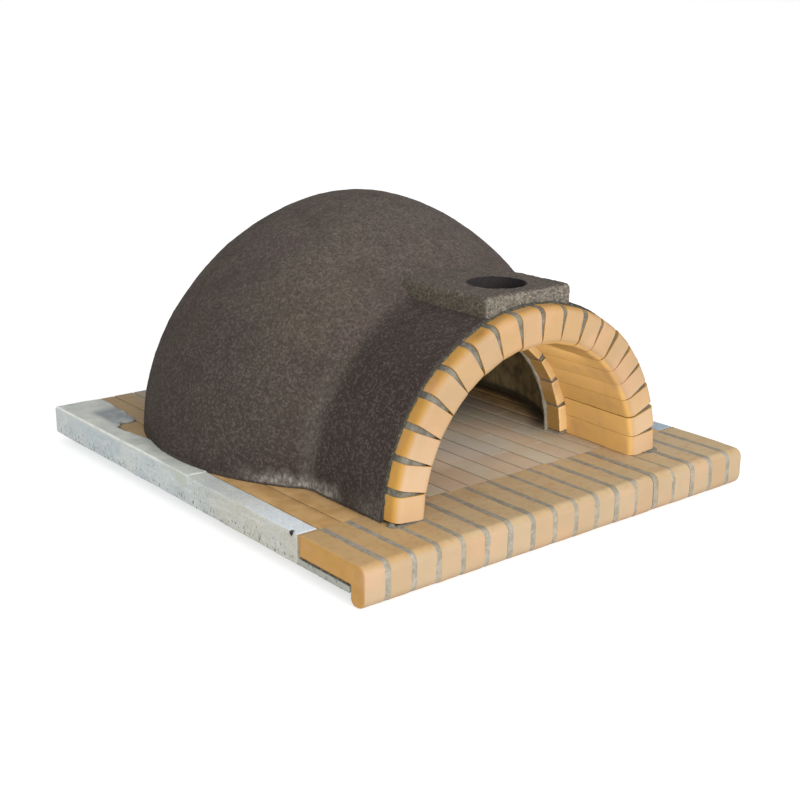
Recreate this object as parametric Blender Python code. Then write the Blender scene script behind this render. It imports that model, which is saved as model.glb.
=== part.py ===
"""Wood fired pizza oven: a brick arch and a rendered dome on a concrete slab.

Metres, +Z up. The origin is on the slab's underside, midway between the front of the nosing
bricks and the rear of the slab. The mouth faces -Y, and +X is to the right of someone facing it.
"""

import math

import bmesh
import bpy
from mathutils import Matrix, Vector

# Clearance between pieces that touch, and the reach of a cutter past what it cuts
GAP = 0.0003
OVERCUT = 0.010

# Front course of nosing bricks: L shaped, with a bullnose on the upper front edge
NOSING_COUNT = 18
NOSING_WIDTH = 0.050
NOSING_DEPTH = 0.200
NOSING_PLATE = 0.045
NOSING_LIP_THICKNESS = 0.043
NOSING_LIP_HEIGHT = 0.080
NOSING_BULLNOSE = 0.020
NOSING_LIP_ROUND = 0.009
NOSING_BED = 0.003
NOSING_REAR_JOINT = 0.006
MORTAR_RECESS = 0.003

# Concrete slab: a tray with a rim at each side, open at the rear
SLAB_HEIGHT = 0.062
SLAB_RIM = 0.049
SLAB_SIDE_MARGIN = 0.0335
SLAB_REAR_MARGIN = 0.003
SLAB_EDGE_ROUND = 0.004

# Floor of firebricks in columns, laid in running bond on a mortar bed
FLOOR_COLUMNS = 18
FLOOR_BRICK_THICKNESS = 0.030
FLOOR_BRICK_LENGTH = 0.220
FLOOR_BOND = 0.5
FLOOR_JOINT = 0.003
FLOOR_JOINT_DEPTH = 0.004
FLOOR_BED = 0.003

# Arch of square-sided bricks with rounded front corners, sprung from the floor; the bricks of its
# left and crown are wider than those of its right haunch
ARCH_COUNT = 19
ARCH_WIDE_COUNT = 11
ARCH_WIDE_TURN = math.radians(110)
ARCH_INNER_RADIUS = 0.298
ARCH_THICKNESS = 0.080
ARCH_DEPTH = 0.210
ARCH_SETBACK = 0.115
ARCH_CORNER = 0.018
ARCH_JOINT_INSIDE = 0.0025
ARCH_COAT = 0.003

# Door arch at the rear of the vestibule, proud of the vestibule's soffit
DOOR_COUNT = 13
DOOR_DEPTH = 0.045
DOOR_REBATE = 0.016
DOOR_JOINT_INSIDE = 0.005

# Round chamber and its refractory lining; the chamber bulges less than an ellipse, by its power
CHAMBER_RADIUS = 0.425
CHAMBER_HEIGHT = 0.440
CHAMBER_POWER = 1.83
CHAMBER_FROM_DOOR = 0.3197
LINING_THICKNESS = 0.045

# Render over lining and vestibule, thicker at the rear by its offset
RENDER_SIDE = 0.040
RENDER_CROWN = 0.060
RENDER_OFFSET = 0.032
RENDER_EDGE = 0.004
RENDER_SETBACK = 0.040
RENDER_BLEND = 0.055

# Chimney block on the arch's crown, with the flue through it
FLUE_DIAMETER = 0.122
FLUE_FROM_ARCH_FRONT = 0.140
BLOCK_SIDE_WALL = 0.059
BLOCK_REAR_WALL = 0.040
BLOCK_RISE = 0.022

# Smear of mortar on the left rim beside the dome
SMEAR_THICKNESS = 0.005
SMEAR_WIDTH = 0.063
SMEAR_AHEAD_OF_DOME = 0.120
SMEAR_LENGTH = 0.560
SMEAR_EDGE = 0.002

# Facets of round forms, and the angle past which an edge stays sharp
CORNER_SEGMENTS = 4
SMALL_SEGMENTS = 2
ROUND_SEGMENTS = 32
RENDER_MOUTH_STEPS = 8
RENDER_REAR_STEPS = 15
RENDER_SIDE_STEPS = 30
RENDER_CREASE_OVERRUN = math.radians(10)
LINING_RINGS = 9
ARCH_FACETS = 2 * ARCH_COUNT
SHARP_ANGLE = math.radians(30)

# Levels and lines that follow from the sizes above
DOME_RADIUS = CHAMBER_RADIUS + LINING_THICKNESS + RENDER_SIDE
DOME_HEIGHT = CHAMBER_HEIGHT + LINING_THICKNESS + RENDER_CROWN
DOOR_SETBACK = ARCH_SETBACK + ARCH_DEPTH + GAP
CHAMBER_SETBACK = DOOR_SETBACK + DOOR_DEPTH + CHAMBER_FROM_DOOR
DOME_SETBACK = CHAMBER_SETBACK + RENDER_OFFSET
SLAB_WIDTH = 2 * (DOME_RADIUS + SLAB_SIDE_MARGIN)
NOSING_JOINT = (SLAB_WIDTH - NOSING_COUNT * NOSING_WIDTH) / (NOSING_COUNT - 1)
OVERALL_DEPTH = DOME_SETBACK + DOME_RADIUS + SLAB_REAR_MARGIN
Y_FRONT = -OVERALL_DEPTH / 2
Y_REAR = OVERALL_DEPTH / 2
Z_FLOOR = SLAB_HEIGHT
Z_SPRING = Z_FLOOR + GAP
Y_NOSING_REAR = Y_FRONT + NOSING_DEPTH
Y_FLOOR_FRONT = Y_NOSING_REAR + NOSING_REAR_JOINT
Z_NOSING_SEAT = Z_FLOOR - NOSING_PLATE - NOSING_BED
Z_FLOOR_SEAT = Z_FLOOR - FLOOR_BRICK_THICKNESS - FLOOR_BED
FLOOR_HALF_WIDTH = SLAB_WIDTH / 2 - SLAB_RIM
Y_ARCH_FRONT = Y_FRONT + ARCH_SETBACK
Y_ARCH_REAR = Y_ARCH_FRONT + ARCH_DEPTH
Y_DOOR_FRONT = Y_FRONT + DOOR_SETBACK
Y_DOOR_REAR = Y_DOOR_FRONT + DOOR_DEPTH
ARCH_OUTER_RADIUS = ARCH_INNER_RADIUS + ARCH_THICKNESS
COAT_RADIUS = ARCH_OUTER_RADIUS + ARCH_COAT
DOOR_INNER_RADIUS = ARCH_INNER_RADIUS - DOOR_REBATE
Y_CHAMBER = Y_FRONT + CHAMBER_SETBACK
Y_DOME = Y_FRONT + DOME_SETBACK
Y_RENDER_FRONT = Y_ARCH_FRONT + RENDER_SETBACK
RENDER_MOUTH_RADIUS = COAT_RADIUS + GAP + RENDER_EDGE
Y_FLUE = Y_ARCH_FRONT + FLUE_FROM_ARCH_FRONT
BLOCK_HALF_WIDTH = FLUE_DIAMETER / 2 + BLOCK_SIDE_WALL
Y_BLOCK_SEAT_REAR = Y_FLUE + FLUE_DIAMETER / 2 + BLOCK_REAR_WALL
Z_BLOCK_TOP = Z_SPRING + RENDER_MOUTH_RADIUS + BLOCK_RISE

# Colours are linear
FIREBRICK = ("firebrick", (0.66, 0.40, 0.17), 0.85)
FLOOR_BRICK = ("floor_brick", (0.45, 0.29, 0.14), 0.88)
MORTAR = ("mortar", (0.30, 0.29, 0.26), 0.95)
CONCRETE = ("concrete", (0.50, 0.53, 0.52), 0.90)
RENDER = ("granular_render", (0.075, 0.060, 0.052), 0.97)
REFRACTORY = ("refractory", (0.20, 0.15, 0.10), 0.95)


def clear_scene():
    """Remove whatever objects the file opened with."""
    for obj in list(bpy.data.objects):
        bpy.data.objects.remove(obj, do_unlink=True)


def material(finish):
    """Return the Principled material of a finish, made once."""
    name, colour, roughness = finish
    found = bpy.data.materials.get(name)
    if found:
        return found
    made = bpy.data.materials.new(name)
    made.use_nodes = True
    shader = made.node_tree.nodes["Principled BSDF"]
    shader.inputs["Base Color"].default_value = (*colour, 1.0)
    shader.inputs["Roughness"].default_value = roughness
    shader.inputs["Metallic"].default_value = 0.0
    return made


def add_object(name, bm, finish=None):
    """Turn a bmesh into a named object with its faces pointing out."""
    bmesh.ops.recalc_face_normals(bm, faces=bm.faces)
    mesh = bpy.data.meshes.new(name)
    bm.to_mesh(mesh)
    bm.free()
    mesh.shade_smooth()
    mesh.set_sharp_from_angle(angle=SHARP_ANGLE)
    obj = bpy.data.objects.new(name, mesh)
    bpy.context.collection.objects.link(obj)
    if finish:
        mesh.materials.append(material(finish))
    return obj


def subtract(obj, cutter_bm):
    """Cut a closed shape out of an object and keep the result as its mesh."""
    cutter = add_object(obj.name + "_cutter", cutter_bm)
    cut = obj.modifiers.new("cut", "BOOLEAN")
    cut.operation = "DIFFERENCE"
    cut.solver = "EXACT"
    cut.object = cutter
    evaluated = obj.evaluated_get(bpy.context.evaluated_depsgraph_get())
    result = bpy.data.meshes.new_from_object(evaluated)
    obj.modifiers.clear()
    obj.data = result
    result.name = obj.name
    bpy.data.objects.remove(cutter, do_unlink=True)


def take(obj):
    """Remove an object and return its shape as a bmesh."""
    bm = bmesh.new()
    bm.from_mesh(obj.data)
    bpy.data.objects.remove(obj, do_unlink=True)
    return bm


def arc(centre, radius, start, stop, segments=CORNER_SEGMENTS):
    """Points of an arc in a plane, both ends included; angles in degrees."""
    points = []
    for step in range(segments + 1):
        angle = math.radians(start + (stop - start) * step / segments)
        points.append((centre[0] + radius * math.cos(angle), centre[1] + radius * math.sin(angle)))
    return points


def prism(outline, low, high, place):
    """Extrude a plane outline from low to high; place turns (u, v, w) into a point."""
    bm = bmesh.new()
    ends = []
    for w in (low, high):
        ends.append([bm.verts.new(place(u, v, w)) for u, v in outline])
    bm.faces.new(ends[0])
    bm.faces.new(reversed(ends[1]))
    for index in range(len(outline)):
        after = (index + 1) % len(outline)
        bm.faces.new((ends[0][index], ends[1][index], ends[1][after], ends[0][after]))
    return bm


def across(u, v, w):
    """Place a (y, z) outline that is extruded along X."""
    return Vector((w, u, v))


def along(u, v, w):
    """Place an (x, z) outline that is extruded along Y."""
    return Vector((u, w, v))


def upright(u, v, w):
    """Place an (x, y) outline that is extruded along Z."""
    return Vector((u, v, w))


def box(low, high):
    """A closed box between two corners."""
    outline = [(low[0], low[1]), (high[0], low[1]), (high[0], high[1]), (low[0], high[1])]
    return prism(outline, low[2], high[2], upright)


def merge(parts):
    """Join separate closed shapes into one bmesh."""
    joined = bmesh.new()
    for part in parts:
        mesh = bpy.data.meshes.new("part")
        part.to_mesh(mesh)
        part.free()
        joined.from_mesh(mesh)
        bpy.data.meshes.remove(mesh)
    return joined


def circle(y_middle, radius):
    """Points of a whole circle round a vertical axis on the oven's middle plane."""
    return arc((0, y_middle), radius, 0, 360 - 360 / ROUND_SEGMENTS, ROUND_SEGMENTS - 1)


# Nosing course


def nosing_outline(grow):
    """Side outline (y, z) of a nosing brick, grown outwards by a clearance."""
    z_low = Z_FLOOR - NOSING_LIP_HEIGHT - grow
    z_top = Z_FLOOR + grow
    z_under = Z_FLOOR - NOSING_PLATE - grow
    y_low = Y_FRONT - grow
    y_lip = Y_FRONT + NOSING_LIP_THICKNESS + grow
    bull = NOSING_BULLNOSE + grow
    foot = NOSING_LIP_ROUND + grow
    points = arc((y_low + bull, z_top - bull), bull, 90, 180)
    points += arc((y_low + foot, z_low + foot), foot, 180, 270, SMALL_SEGMENTS)
    points += arc((y_lip - foot, z_low + foot), foot, 270, 360, SMALL_SEGMENTS)
    points += [(y_lip, z_under), (Y_NOSING_REAR + grow, z_under), (Y_NOSING_REAR + grow, z_top)]
    return points


def nosing_spans():
    """The low and high X of each nosing brick, from left to right."""
    pitch = NOSING_WIDTH + NOSING_JOINT
    starts = [-SLAB_WIDTH / 2 + index * pitch for index in range(NOSING_COUNT)]
    return [(start, start + NOSING_WIDTH) for start in starts]


def build_nosing():
    """Lay the nosing bricks and fill their joints and bed with mortar."""
    for number, (low, high) in enumerate(nosing_spans(), start=1):
        brick = prism(nosing_outline(0.0), low, high, across)
        add_object(f"nosing_brick_{number:02d}", brick, FIREBRICK)
    recess = MORTAR_RECESS
    bull = NOSING_BULLNOSE
    y_back = Y_FRONT + NOSING_LIP_THICKNESS + NOSING_BED - GAP
    z_low = Z_FLOOR - NOSING_LIP_HEIGHT + recess + NOSING_LIP_ROUND
    outline = arc((Y_FRONT + bull, Z_FLOOR - bull), bull - recess, 90, 180)
    outline += [(Y_FRONT + recess, z_low), (y_back, z_low), (y_back, Z_NOSING_SEAT + GAP)]
    outline += [(Y_FLOOR_FRONT - GAP, Z_NOSING_SEAT + GAP), (Y_FLOOR_FRONT - GAP, Z_FLOOR - recess)]
    reach = SLAB_WIDTH / 2 - recess
    mortar = add_object("nosing_mortar", prism(outline, -reach, reach, across), MORTAR)
    bricks = []
    for low, high in nosing_spans():
        bricks.append(prism(nosing_outline(GAP), low - GAP, high + GAP, across))
    subtract(mortar, merge(bricks))


# Slab and floor


def build_slab():
    """Cast the tray: rims at both sides, a rebate for the nosing and a seat for the floor."""
    half = SLAB_WIDTH / 2
    y_front = Y_FRONT + NOSING_LIP_THICKNESS + NOSING_BED
    edge = SLAB_EDGE_ROUND
    outline = [(-half, 0), (half, 0)]
    outline += arc((half - edge, Z_FLOOR - edge), edge, 0, 90, SMALL_SEGMENTS)
    outline += arc((edge - half, Z_FLOOR - edge), edge, 90, 180, SMALL_SEGMENTS)
    profile = prism(outline, y_front, Y_REAR, along)
    slab = add_object("base_slab", profile, CONCRETE)
    low = (-half - OVERCUT, y_front - OVERCUT, Z_NOSING_SEAT)
    subtract(slab, box(low, (half + OVERCUT, Y_FLOOR_FRONT, Z_FLOOR + OVERCUT)))
    low = (-FLOOR_HALF_WIDTH, Y_FLOOR_FRONT - OVERCUT, Z_FLOOR_SEAT)
    subtract(slab, box(low, (FLOOR_HALF_WIDTH, Y_REAR + OVERCUT, Z_FLOOR + OVERCUT)))


def floor_joint(x_low, x_high, y_low, y_high):
    """A cutter for one joint between floor bricks."""
    z_low = Z_FLOOR - FLOOR_JOINT_DEPTH
    return box((x_low, y_low, z_low), (x_high, y_high, Z_FLOOR + OVERCUT))


def cross_joints(columns):
    """Cutters for the joints across some columns, in running bond."""
    pitch = 2 * FLOOR_HALF_WIDTH / FLOOR_COLUMNS
    half = FLOOR_JOINT / 2
    joints = []
    for column in columns:
        x_low = -FLOOR_HALF_WIDTH + column * pitch - half
        x_high = x_low + pitch + FLOOR_JOINT
        y_joint = Y_FLOOR_FRONT + FLOOR_BRICK_LENGTH * (1 - FLOOR_BOND * ((column + 1) % 2))
        while y_joint < Y_REAR - FLOOR_JOINT:
            joints.append(floor_joint(x_low, x_high, y_joint - half, y_joint + half))
            y_joint += FLOOR_BRICK_LENGTH
    return merge(joints)


def build_floor():
    """Lay the bed and the firebricks, whose joints are grooves in one field."""
    reach = FLOOR_HALF_WIDTH - GAP
    z_bed = Z_FLOOR_SEAT + FLOOR_BED
    low = (-reach, Y_FLOOR_FRONT, Z_FLOOR_SEAT + GAP)
    add_object("floor_bed", box(low, (reach, Y_REAR, z_bed - GAP)), MORTAR)
    field = box((-reach, Y_FLOOR_FRONT, z_bed), (reach, Y_REAR, Z_FLOOR))
    floor = add_object("floor_bricks", field, FLOOR_BRICK)
    pitch = 2 * FLOOR_HALF_WIDTH / FLOOR_COLUMNS
    half = FLOOR_JOINT / 2
    lengthwise = []
    for column in range(1, FLOOR_COLUMNS):
        x = -FLOOR_HALF_WIDTH + column * pitch
        lengthwise.append(floor_joint(x - half, x + half, Y_FLOOR_FRONT - OVERCUT, Y_REAR + OVERCUT))
    subtract(floor, merge(lengthwise))
    subtract(floor, cross_joints(range(0, FLOOR_COLUMNS, 2)))
    subtract(floor, cross_joints(range(1, FLOOR_COLUMNS, 2)))


# Brick arches


def ring_turns(count, wide_count=0, wide_turn=0.0):
    """Middle angle and pitch of each brick of a half ring, from the left foot to the right.

    The first wide_count bricks share wide_turn evenly, and the others share the rest.
    """
    turns = []
    high = math.pi
    for index in range(count):
        if index < wide_count:
            pitch = wide_turn / wide_count
        else:
            pitch = (math.pi - wide_turn) / (count - wide_count)
        turns.append((high - pitch / 2, pitch))
        high -= pitch
    return turns


def ring_width(pitch, inner_radius, joint):
    """Width of a square-sided brick that leaves a joint at the inside of its ring."""
    return 2 * inner_radius * math.sin(pitch / 2) - joint


def ring_brick(angle, width, radii, span, corner, grow=0.0):
    """One brick of a half ring: rounded at the front by corner, grown by a clearance."""
    inner, outer = radii[0] - grow, radii[1] + grow
    front, rear = span[0] - grow, span[1] + grow
    outline = [(rear, outer), (rear, inner)]
    if corner:
        turn = corner + grow
        outline += arc((front + turn, inner + turn), turn, 270, 180)
        outline += arc((front + turn, outer - turn), turn, 180, 90)
    else:
        outline += [(front, inner), (front, outer)]
    half = width / 2 + grow
    bm = prism(outline, -half, half, lambda u, v, w: Vector((v, u, w)))
    bmesh.ops.transform(bm, matrix=Matrix.Rotation(-angle, 4, "Y"), verts=bm.verts)
    bmesh.ops.translate(bm, vec=(0, 0, Z_SPRING), verts=bm.verts)
    return bm


def half_ring(outline):
    """Turn a (y, radius) outline by half a circle from the floor, over the arch, to the floor."""
    bm = bmesh.new()
    rows = []
    for step in range(ARCH_FACETS + 1):
        angle = math.pi * step / ARCH_FACETS
        row = [(r * math.cos(angle), y, Z_SPRING + r * math.sin(angle)) for y, r in outline]
        rows.append([bm.verts.new(point) for point in row])
    for row, after in zip(rows, rows[1:]):
        for index in range(len(outline)):
            nxt = (index + 1) % len(outline)
            bm.faces.new((row[index], row[nxt], after[nxt], after[index]))
    bm.faces.new(rows[0])
    bm.faces.new(reversed(rows[-1]))
    return bm


def half_round(radius, y_low, y_high):
    """A cutter for the space under the arches, with the facets that their coat has."""
    outline = arc((0, Z_SPRING), radius, 0, 180, ARCH_FACETS)
    outline += [(-radius, Z_SPRING - OVERCUT), (radius, Z_SPRING - OVERCUT)]
    return prism(outline, y_low, y_high, along)


def flue_cutter():
    """The smoke way, from inside the vestibule to above the chimney block."""
    z_low = Z_SPRING + DOOR_INNER_RADIUS - FLUE_DIAMETER / 2
    z_high = Z_BLOCK_TOP + OVERCUT
    return prism(circle(Y_FLUE, FLUE_DIAMETER / 2), z_low, z_high, upright)


def arch_bricks(grow):
    """Bricks of the front arch; those of the crown stop short, so that the flue leaves them whole."""
    bricks = []
    for angle, pitch in ring_turns(ARCH_COUNT, ARCH_WIDE_COUNT, ARCH_WIDE_TURN):
        width = ring_width(pitch, ARCH_INNER_RADIUS, ARCH_JOINT_INSIDE)
        at_crown = abs(math.cos(angle)) * ARCH_OUTER_RADIUS + width / 2 < FLUE_DIAMETER / 2
        rear = Y_FLUE if at_crown else Y_ARCH_REAR
        radii = (ARCH_INNER_RADIUS, ARCH_OUTER_RADIUS)
        bricks.append(ring_brick(angle, width, radii, (Y_ARCH_FRONT, rear), ARCH_CORNER, grow))
    return bricks


def build_arch():
    """Set the arch bricks, and mortar between and over them."""
    reach = FLUE_DIAMETER / 2
    for number, brick in enumerate(arch_bricks(0.0), start=1):
        meets_flue = any(abs(v.co.x) < reach for v in brick.verts)
        obj = add_object(f"arch_brick_{number:02d}", brick, FIREBRICK)
        if meets_flue:
            subtract(obj, flue_cutter())
    inner = ARCH_INNER_RADIUS + ARCH_JOINT_INSIDE
    outer = ARCH_OUTER_RADIUS - MORTAR_RECESS
    front = Y_ARCH_FRONT + MORTAR_RECESS
    turn = ARCH_CORNER
    y_coat = Y_RENDER_FRONT - MORTAR_RECESS
    outline = [(Y_ARCH_REAR, inner), *arc((front + turn, inner + turn), turn, 270, 180)]
    outline += arc((front + turn, outer - turn), turn, 180, 90)
    outline += [(y_coat, outer), (y_coat, COAT_RADIUS), (Y_ARCH_REAR, COAT_RADIUS)]
    mortar = add_object("arch_mortar", half_ring(outline), MORTAR)
    subtract(mortar, merge(arch_bricks(GAP)))
    subtract(mortar, flue_cutter())


def door_bricks(grow):
    """Bricks of the door arch."""
    radii = (DOOR_INNER_RADIUS, ARCH_OUTER_RADIUS)
    span = (Y_DOOR_FRONT, Y_DOOR_REAR)
    bricks = []
    for angle, pitch in ring_turns(DOOR_COUNT):
        width = ring_width(pitch, DOOR_INNER_RADIUS, DOOR_JOINT_INSIDE)
        bricks.append(ring_brick(angle, width, radii, span, 0.0, grow))
    return bricks


def build_door_arch():
    """Set the door arch behind the vestibule, and mortar between and over its bricks."""
    for number, brick in enumerate(door_bricks(0.0), start=1):
        add_object(f"door_brick_{number:02d}", brick, FIREBRICK)
    inner = DOOR_INNER_RADIUS + MORTAR_RECESS
    front = Y_DOOR_FRONT + MORTAR_RECESS
    rear = Y_DOOR_REAR - MORTAR_RECESS
    outline = [(rear, inner), (front, inner), (front, COAT_RADIUS), (rear, COAT_RADIUS)]
    mortar = add_object("door_mortar", half_ring(outline), MORTAR)
    subtract(mortar, merge(door_bricks(GAP)))


# Dome


def bulge(radius, height, across_share, up_share):
    """Distance from a dome's middle to its surface in a direction given by its shares."""
    power = CHAMBER_POWER
    return ((across_share / radius) ** power + (up_share / height) ** power) ** (-1 / power)


def dome_solid(radius, height, y_middle, z_low):
    """A round dome on the floor, carried straight down to z_low."""
    bm = bmesh.new()
    rows = []
    for step in range(LINING_RINGS + 1):
        lift = 0.5 * math.pi * step / (LINING_RINGS + 1)
        reach = bulge(radius, height, math.cos(lift), math.sin(lift))
        rows.append((reach * math.cos(lift), Z_SPRING + reach * math.sin(lift)))
    rows.insert(0, (radius, z_low))
    rings = []
    for r, z in rows:
        rings.append([bm.verts.new((x, y, z)) for x, y in circle(y_middle, r)])
    for ring, above in zip(rings, rings[1:]):
        for index in range(ROUND_SEGMENTS):
            nxt = (index + 1) % ROUND_SEGMENTS
            bm.faces.new((ring[index], ring[nxt], above[nxt], above[index]))
    top = bm.verts.new((0, y_middle, Z_SPRING + height))
    for index in range(ROUND_SEGMENTS):
        bm.faces.new((rings[-1][index], rings[-1][(index + 1) % ROUND_SEGMENTS], top))
    bm.faces.new(reversed(rings[0]))
    return bm


def build_lining():
    """Raise the chamber's lining against the rear of the door arch."""
    wall = LINING_THICKNESS
    outside = dome_solid(CHAMBER_RADIUS + wall, CHAMBER_HEIGHT + wall, Y_CHAMBER, Z_SPRING)
    lining = add_object("dome_lining", outside, REFRACTORY)
    subtract(lining, dome_solid(CHAMBER_RADIUS, CHAMBER_HEIGHT, Y_CHAMBER, Z_SPRING - OVERCUT))
    reach = CHAMBER_RADIUS + wall + OVERCUT
    y_front = Y_DOOR_REAR + GAP
    low = (-reach, Y_CHAMBER - reach, Z_SPRING - OVERCUT)
    subtract(lining, box(low, (reach, y_front, Z_SPRING + CHAMBER_HEIGHT + wall)))
    subtract(lining, half_round(DOOR_INNER_RADIUS, y_front - OVERCUT, Y_CHAMBER))


def soft_max(one, other, blend):
    """The larger of two reaches, with the crease between them filled over a blend."""
    share = max(blend - abs(one - other), 0.0) / blend
    return max(one, other) + share * share * blend / 4


def render_reach(turn, lift, grow):
    """Reach of the rendered form from the dome's middle.

    turn is the angle from straight ahead, towards the mouth, and lift the angle round that line.
    """
    ahead = math.cos(turn)
    aside = math.sin(turn) * math.cos(lift)
    up = math.sin(turn) * math.sin(lift)
    dome = bulge(DOME_RADIUS + grow, DOME_HEIGHT + grow, math.hypot(ahead, aside), abs(up))
    vestibule = (RENDER_MOUTH_RADIUS + grow) / math.sin(turn) if ahead > 0 else 0.0
    return soft_max(dome, vestibule, RENDER_BLEND)


def render_turns(grow, y_mouth):
    """Turns of the form's rows: fine over the vestibule, coarser round the dome."""
    rim = math.atan2(RENDER_MOUTH_RADIUS + grow, Y_DOME - y_mouth)
    crease = math.asin(min(1.0, RENDER_MOUTH_RADIUS / DOME_RADIUS)) + RENDER_CREASE_OVERRUN
    turns = []
    for step in range(RENDER_MOUTH_STEPS):
        turns.append(rim + (crease - rim) * step / RENDER_MOUTH_STEPS)
    for step in range(RENDER_REAR_STEPS):
        turns.append(crease + (math.pi - crease) * step / RENDER_REAR_STEPS)
    return turns


def render_solid(grow, y_mouth):
    """Dome and vestibule as one filled form, from a mouth plane back to the rear of the dome."""
    bm = bmesh.new()
    rows = []
    for turn in render_turns(grow, y_mouth):
        row = []
        for step in range(RENDER_SIDE_STEPS + 1):
            lift = math.pi * step / RENDER_SIDE_STEPS
            reach = render_reach(turn, lift, grow)
            radius = reach * math.sin(turn)
            x, z = radius * math.cos(lift), Z_SPRING + radius * math.sin(lift)
            row.append(bm.verts.new((x, Y_DOME - reach * math.cos(turn), z)))
        rows.append(row)
    heel = bm.verts.new((0, Y_DOME + DOME_RADIUS + grow, Z_SPRING))
    for row, after in zip(rows, rows[1:]):
        for index in range(RENDER_SIDE_STEPS):
            bm.faces.new((row[index], row[index + 1], after[index + 1], after[index]))
    for index in range(RENDER_SIDE_STEPS):
        bm.faces.new((rows[-1][index], rows[-1][index + 1], heel))
    bm.faces.new(reversed(rows[0]))
    bm.faces.new([row[0] for row in rows] + [heel] + [row[-1] for row in reversed(rows)])
    return bm


def block_seat(grow):
    """The space over the arch that the chimney block fills, down into its crown."""
    half = BLOCK_HALF_WIDTH + grow
    low = (-half, Y_RENDER_FRONT - OVERCUT, Z_SPRING + ARCH_INNER_RADIUS)
    return box(low, (half, Y_BLOCK_SEAT_REAR + grow, Z_BLOCK_TOP + OVERCUT))


def build_render():
    """Coat lining and vestibule, and leave the chimney block's seat open."""
    render = add_object("render_shell", render_solid(0.0, Y_RENDER_FRONT), RENDER)
    wall = LINING_THICKNESS + GAP
    z_low = Z_SPRING - OVERCUT
    subtract(render, dome_solid(CHAMBER_RADIUS + wall, CHAMBER_HEIGHT + wall, Y_CHAMBER, z_low))
    y_low = Y_RENDER_FRONT - OVERCUT
    subtract(render, half_round(COAT_RADIUS + GAP, y_low, Y_DOOR_REAR + GAP))
    subtract(render, block_seat(GAP))


def build_chimney_block():
    """Seat the chimney block on the arch, and behind it on the render, back to the dome."""
    half = BLOCK_HALF_WIDTH
    low = (-half, Y_RENDER_FRONT, Z_SPRING + ARCH_INNER_RADIUS)
    block = add_object("chimney_block", box(low, (half, Y_DOME, Z_BLOCK_TOP)), RENDER)
    form = add_object("render_form", render_solid(GAP, Y_RENDER_FRONT - OVERCUT))
    subtract(form, block_seat(0.0))
    subtract(block, take(form))
    subtract(block, half_round(COAT_RADIUS + GAP, Y_RENDER_FRONT - OVERCUT, Y_DOOR_REAR))
    subtract(block, flue_cutter())


def build_smear():
    """Trowel the smear of mortar over the left rim, up to the foot of the dome."""
    x_low = -SLAB_WIDTH / 2 + SMEAR_EDGE
    y_low = Y_DOME - SMEAR_AHEAD_OF_DOME
    high = (x_low + SMEAR_WIDTH, y_low + SMEAR_LENGTH, Z_SPRING + SMEAR_THICKNESS)
    smear = add_object("rim_smear", box((x_low, y_low, Z_SPRING), high), MORTAR)
    form = render_solid(GAP, Y_RENDER_FRONT)
    bmesh.ops.translate(form, vec=(0, 0, -GAP), verts=form.verts)
    subtract(smear, form)


def main():
    """Build the oven from the slab up."""
    clear_scene()
    build_slab()
    build_nosing()
    build_floor()
    build_arch()
    build_door_arch()
    build_lining()
    build_render()
    build_chimney_block()
    build_smear()


main()
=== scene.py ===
"""Looks of a wood fired pizza oven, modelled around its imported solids.

Metres, +Z up, in the part's own frame: the mouth faces -Y, +X is to the right of someone facing
it, and the slab's underside is at zero.
"""

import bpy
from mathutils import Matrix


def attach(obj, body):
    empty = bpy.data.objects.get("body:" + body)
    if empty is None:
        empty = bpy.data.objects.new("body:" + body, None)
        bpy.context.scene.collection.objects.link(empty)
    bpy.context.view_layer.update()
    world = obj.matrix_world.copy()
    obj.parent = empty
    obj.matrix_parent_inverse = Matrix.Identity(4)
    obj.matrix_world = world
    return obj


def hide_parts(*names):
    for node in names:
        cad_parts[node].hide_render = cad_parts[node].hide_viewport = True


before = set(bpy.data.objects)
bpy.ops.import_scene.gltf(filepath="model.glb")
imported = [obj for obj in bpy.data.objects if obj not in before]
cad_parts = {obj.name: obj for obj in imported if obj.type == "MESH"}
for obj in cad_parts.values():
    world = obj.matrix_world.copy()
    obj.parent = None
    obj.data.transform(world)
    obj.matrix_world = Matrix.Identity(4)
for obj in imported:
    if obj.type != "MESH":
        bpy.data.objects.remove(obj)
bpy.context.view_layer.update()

import logging
import math
import random
from contextlib import contextmanager
from dataclasses import dataclass
from enum import Enum
from typing import Any, Callable, ClassVar, Iterator, Sequence

import bmesh
import bpy
from bpy.types import Material, NodeSocket, Object
from mathutils import Matrix, Vector, noise

log = logging.getLogger("oven")
MM = 0.001


class Slot(Enum):
    """Material slots of the record."""

    FIREBRICK = "firebrick"
    FLOOR_BRICK = "floor_brick"
    MORTAR = "mortar"
    CONCRETE = "concrete"
    RENDER = "granular_render"
    REFRACTORY = "refractory"


class Keep(Enum):
    """Which side of a cutting plane stays: that of its normal, the other, or both."""

    AHEAD = "ahead"
    BEHIND = "behind"
    BOTH = "both"


class Solver(Enum):
    """How a boolean is worked out: exact for plain shapes, manifold for dense closed ones."""

    EXACT = "EXACT"
    MANIFOLD = "MANIFOLD"


class Pick(Enum):
    """What is selected in edit mode."""

    POINTS = "VERT"
    EDGES = "EDGE"
    FACES = "FACE"


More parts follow.
